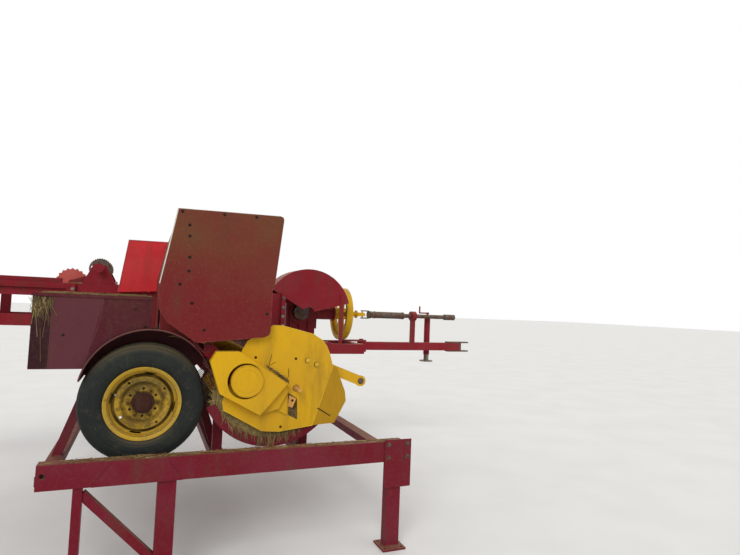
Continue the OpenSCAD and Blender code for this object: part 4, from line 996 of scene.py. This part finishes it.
def reel_springs():
    """The coils that hold each tine on its bar."""
    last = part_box("pickup_reel")[1].y - 0.03
    centre = joint_at["reel_spin"]
    bm = bmesh.new()
    for bar_x, bar_z in circle(TINE_BAR_CIRCLE_R, TINE_BARS, math.pi / TINE_BARS):
        tine = RIM_FACE_Y + FIRST_TINE
        while tine < last:
            for offset in COIL_OFFSETS:
                coil = [Vector((centre.x + bar_x + x, tine + offset, centre.z - bar_z + z))
                        for x, z in circle(COIL_R, 14)]
                tube(bm, coil, COIL_WIRE_R, 5, 0.0, True)
            tine += TINE_PITCH
    add_piece("tine_coils", bm, STEEL, "reel", 60)


PAN_CENTRE = (0.760, 0.150)
HAY_R = 0.4435
# Places the pickup passes through at rest and lowered: forward, up and the radius kept free
SWEPT = [(0.585, 0.120, 0.236), (0.565, 0.096, 0.236), (0.504, -0.103, 0.034), (0.461, -0.115, 0.034),
         (0.482, -0.109, 0.034)]
POST_PATHS = [((0.700, -0.080), (0.658, -0.1145)), ((0.560, 0.010), (0.528, -0.010)),
              ((0.640, 0.300), (0.640, 0.268))]


def on_pan(radius, angle):
    return (PAN_CENTRE[0] + radius * math.cos(angle), PAN_CENTRE[1] + radius * math.sin(angle))


def past_pan(points, radius):
    return any(math.hypot(f - PAN_CENTRE[0], u - PAN_CENTRE[1]) > radius for f, u in points)


def clear_of_pickup(points, margin=0.0):
    return all(math.hypot(f - cf, u - cu) >= r + margin for f, u in points for cf, cu, r in SWEPT)


def near_path(f, u, reach):
    for (af, au), (bf, bu) in POST_PATHS:
        df, du = bf - af, bu - au
        t = max(0.0, min(1.0, ((f - af) * df + (u - au) * du) / (df * df + du * du)))
        if math.hypot(f - af - t * df, u - au - t * du) < reach:
            return True
    return False


def hay_depth(angle, y):
    lump = 0.55 + 0.25 * math.sin(angle * 9 + y * 5) + 0.2 * math.sin(angle * 23 + y * 11 + 1.0)
    return 0.022 + 0.075 * lump


def pan_hay_bed(near, far):
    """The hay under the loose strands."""
    bm = bmesh.new()
    rows, columns = 40, 60
    grid = []
    for i in range(columns + 1):
        angle = math.radians(222 + (318 - 222) * i / columns)
        line = []
        for j in range(rows + 1):
            y = near + (far - near) * j / rows
            t = hay_depth(angle, y) * 0.8
            while t > 0.004 and not clear_of_pickup([on_pan(HAY_R - t, angle)], 0.008):
                t -= 0.004
            f, u = on_pan(HAY_R - max(t, 0.003), angle)
            line.append(bm.verts.new(point(f, y, u)))
        grid.append(line)
    for i in range(columns):
        for j in range(rows):
            bm.faces.new((grid[i][j], grid[i + 1][j], grid[i + 1][j + 1], grid[i][j + 1]))
    add_piece("pan_hay_bed", bm, HAY_BED, "root", 70)


def pan_hay():
    """Hay that fills the pan below the reel."""
    near, far = spot(0, 0.060, 0).y, spot(0, 1.706, 0).y
    pan_hay_bed(near, far)
    rng = random.Random("pan")
    bm = bmesh.new()
    made = 0
    tries = 0
    while made < 5200 and tries < 60000:
        tries += 1
        angle = math.radians(rng.uniform(219.5, 320))
        y = near + (far - near) * (rng.random() ** 1.7)
        length = rng.uniform(0.04, 0.15)
        deep = hay_depth(angle, y) * rng.random() ** 0.35 + 0.012 * rng.random()
        f, u = on_pan(HAY_R - 0.004 - deep, angle)
        yaw = rng.uniform(0, math.pi)
        slope = math.atan2(math.cos(angle), -math.sin(angle))
        pitch = slope * math.cos(yaw) * 0.9 + rng.uniform(-0.35, 0.35)
        df, du = math.cos(yaw) * math.cos(pitch) * length / 2, math.sin(pitch) * length / 2
        dy = abs(math.sin(yaw) * math.cos(pitch) * length / 2)
        ends = [(f - df, u - du), (f, u), (f + df, u + du)]
        if y - dy < near or y + dy > far or not clear_of_pickup(ends) or past_pan(ends, HAY_R):
            continue
        strand(bm, point(f, y, u), yaw, pitch, length, rng.uniform(0.0008, 0.0017),
               rng.uniform(-0.5, 0.5), rng.uniform(0, 2))
        made += 1
    add_piece("pan_hay", bm, HAY, "root")


# Tufts that hang over the ring plate: forward, strands and longest strand
TUFTS = [(0.640, 6, 0.06), (0.676, 9, 0.13), (0.700, 9, 0.09), (0.742, 12, 0.16), (0.771, 9, 0.10),
         (0.806, 9, 0.07), (0.838, 7, 0.06), (0.862, 8, 0.08), (0.905, 6, 0.06), (0.940, 5, 0.05),
         (0.600, 8, 0.06), (0.560, 8, 0.07), (0.524, 8, 0.09), (0.490, 7, 0.08), (0.462, 6, 0.09)]
TUFT_ROOT_R = 0.395
TYRE_CLEAR_R = 0.360


def curtain_hay():
    """Hay pressed out between the ring plate and the guard."""
    rng = random.Random("curtain")
    bm = bmesh.new()
    made = 0
    tries = 0
    while made < 3900 and tries < 90000:
        tries += 1
        left = rng.random() < 0.28
        angle = math.radians(rng.uniform(200, 232) if left else rng.uniform(212, 318))
        r = rng.uniform(0.24, 0.400) if left or rng.random() < 0.25 else rng.uniform(0.31, 0.400)
        f, u = on_pan(r, angle)
        length = rng.uniform(0.02, 0.11) if rng.random() < 0.85 else rng.uniform(0.11, 0.19)
        lean = rng.gauss(-1.25, 0.75) if rng.random() < 0.55 else rng.uniform(0, math.pi)
        df, du = math.cos(lean) * length / 2, math.sin(lean) * length / 2
        ends = [(f - df, u - du), (f, u), (f + df, u + du)]
        if any(near_path(*end, 0.017) for end in ends) or u > 0.10 or f < 0.362:
            continue
        if any(math.hypot(*end) < TYRE_CLEAR_R for end in ends) or past_pan(ends, 0.44):
            continue
        place = spot(f, rng.uniform(0.0582, 0.0598), u)
        strand(bm, place, 0.0, lean, length, rng.uniform(0.0009, 0.0017), rng.uniform(-0.008, 0.008),
               rng.uniform(0, 2))
        made += 1
    for middle, count, longest in TUFTS:
        for _ in range(count):
            f = middle + rng.gauss(0, 0.008)
            length = longest * rng.uniform(0.4, 1.0)
            root = PAN_CENTRE[1] - math.sqrt(TUFT_ROOT_R ** 2 - (f - PAN_CENTRE[0]) ** 2)
            place = spot(f, rng.uniform(0.0445, 0.048), root + 0.012 - length * 0.36)
            strand(bm, place, 0.0, rng.gauss(-1.5, 0.3), length, rng.uniform(0.0009, 0.0014), 0.0,
                   rng.uniform(0, 2))
    add_piece("curtain_hay", bm, HAY, "root")


# The gap between the drive cover and the guard, as forward and up
COVER_GAP = ((0.712, 0.196), (0.846, 0.104))


def cover_hay():
    """Hay caught between the drive cover and the guard."""
    (af, au), (bf, bu) = COVER_GAP
    rng = random.Random("cover hay")
    face = side_face(GUARD_FACE)
    bm = bmesh.new()
    for _ in range(90):
        t = rng.random()
        f = af + (bf - af) * t + rng.gauss(0, 0.004)
        u = au + (bu - au) * t + rng.uniform(-0.004, 0.010)
        length = rng.uniform(0.015, 0.05)
        lean = -0.60 + rng.gauss(0, 0.45)
        place = face @ Vector((f, u, rng.uniform(0.001, 0.008)))
        strand(bm, place, 0.0, lean, length, rng.uniform(0.0007, 0.0012), 0.0, rng.uniform(0, 2))
    add_piece("cover_hay", bm, OLD_HAY, "pickup")


# Long straws at the box's rear end: forward, top, length and lean
LONG_STRAWS = ((-0.512, 0.565, 0.200, -1.64), (-0.526, 0.420, 0.185, -1.50),
               (-0.552, 0.520, 0.150, -1.45), (-0.500, 0.588, 0.130, -1.72))


def box_straw():
    """Straw that hangs down at the rear of the twine box."""
    rng = random.Random("box straw")
    bm = bmesh.new()
    for _ in range(120):
        f = -0.574 + 0.095 * rng.random() ** 1.8
        length = rng.uniform(0.02, 0.10)
        top = rng.uniform(0.572, 0.593) if rng.random() < 0.7 else rng.uniform(0.49, 0.57)
        place = spot(f, rng.uniform(0.0265, 0.0288), top - length * 0.5)
        strand(bm, place, 0.0, rng.gauss(-1.5, 0.35), length, rng.uniform(0.0008, 0.0014), 0.0,
               rng.uniform(0, 2))
    for f, top, length, lean in LONG_STRAWS:
        strand(bm, spot(f, 0.0280, top - length * 0.5), 0.0, lean, length, 0.0013, 0.0, 0.4)
    add_piece("box_straw", bm, OLD_HAY, "root")


# Levels that straw lies on, above the axle
CASE_TOP = 0.702
LID_TOP = 0.6085
DECK_TOP = 0.3722
RAIL_TOP = 0.214
AXLE_TOP = 0.3343


def loose_straw():
    low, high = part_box("bale_case")
    straw_on("straw_case_top", "root", point(-0.66, low.y + 0.05, CASE_TOP + 0.0005),
             point(0.68, high.y - 0.05, CASE_TOP), 500, 0.012)
    low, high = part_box("twine_box_lid")
    straw_on("straw_box_lid", "box_lid", Vector((low.x + 0.01, low.y + 0.006, AXLE.z + LID_TOP)),
             Vector((high.x - 0.01, high.y - 0.06, high.z)), 420, 0.010)
    low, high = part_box("stand_beams")
    top = high.z + 0.0003
    for name, y in (("straw_beam_near", spot(0, BEAM_FACE, 0).y), ("straw_beam_far", high.y - 0.085)):
        straw_on(name, "root", Vector((low.x + 0.03, y + 0.002, top)),
                 Vector((low.x + 2.05, y + BEAM_WIDTH - 0.002, top)), 260, 0.006, (0.03, 0.09))
    low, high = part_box("feeder_pan")
    straw_on("straw_deck", "root", point(0.10, low.y + 0.02, DECK_TOP), spot(0.63, 1.80, 0), 900, 0.012)
    straw_on("straw_rail", "root", spot(0.10, 1.782, RAIL_TOP + 0.0003), spot(0.72, 1.838, RAIL_TOP), 70,
             0.004, (0.02, 0.05))
    straw_on("straw_axle", "root", spot(-0.058, 0.70, AXLE_TOP), spot(0.058, 1.76, 0), 150, 0.004,
             (0.03, 0.10))


DETAILS = (panel_bolts, shield_trim, box_trim, arch_trim, guard_trim, tyres, wheel_trim, case_bolts,
           case_welds, stand_trim, drive_trim, reel_springs, pan_hay, curtain_hay, cover_hay, box_straw,
           loose_straw)


# Light, floor and background

def soft_sun(name, direction, spread, strength):
    data = bpy.data.lights.new(name, "SUN")
    data.angle = math.radians(spread)
    data.energy = strength
    lamp = bpy.data.objects.new(name, data)
    lamp.rotation_euler = Vector(direction).to_track_quat("-Z", "Y").to_euler()
    bpy.context.scene.collection.objects.link(lamp)


def make_light():
    """Three soft suns and a dim sky, which the camera, glass and gloss see as white."""
    soft_sun("key", (0.55, 0.85, -0.75), 35, 1.55)
    soft_sun("fill", (-0.8, 0.6, -0.5), 60, 0.5)
    soft_sun("back", (-0.2, -0.9, -0.7), 50, 0.7)
    world = bpy.data.worlds.new("studio")
    world.use_nodes = True
    tree = world.node_tree
    sky = tree.nodes["Background"]
    white = tree.nodes.new("ShaderNodeBackground")
    for node, strength in ((sky, 0.55), (white, 1.0)):
        node.inputs["Color"].default_value = (1, 1, 1, 1)
        node.inputs["Strength"].default_value = strength
    path = tree.nodes.new("ShaderNodeLightPath")
    seen = path.outputs["Is Camera Ray"]
    for ray in ("Is Transmission Ray", "Is Glossy Ray"):
        either = tree.nodes.new("ShaderNodeMath")
        either.operation = "MAXIMUM"
        tree.links.new(seen, either.inputs[0])
        tree.links.new(path.outputs[ray], either.inputs[1])
        seen = either.outputs[0]
    mix = tree.nodes.new("ShaderNodeMixShader")
    tree.links.new(seen, mix.inputs["Fac"])
    tree.links.new(sky.outputs[0], mix.inputs[1])
    tree.links.new(white.outputs[0], mix.inputs[2])
    tree.links.new(mix.outputs[0], tree.nodes["World Output"].inputs["Surface"])
    bpy.context.scene.world = world


FLOOR_SIZE = 190


def make_floor():
    bm = bmesh.new()
    bmesh.ops.create_grid(bm, x_segments=1, y_segments=1, size=FLOOR_SIZE / 2)
    mesh = from_bmesh("floor", bm)
    mesh.materials.append(plain_floor())
    floor = bpy.data.objects.new("floor", mesh)
    floor.location.z = cad_box[0].z - 0.0005
    bpy.context.scene.collection.objects.link(floor)


make_camera()
finish_nodes()
for build in DETAILS:
    build()
make_light()
make_floor()
bpy.context.scene.view_settings.view_transform = "Standard"
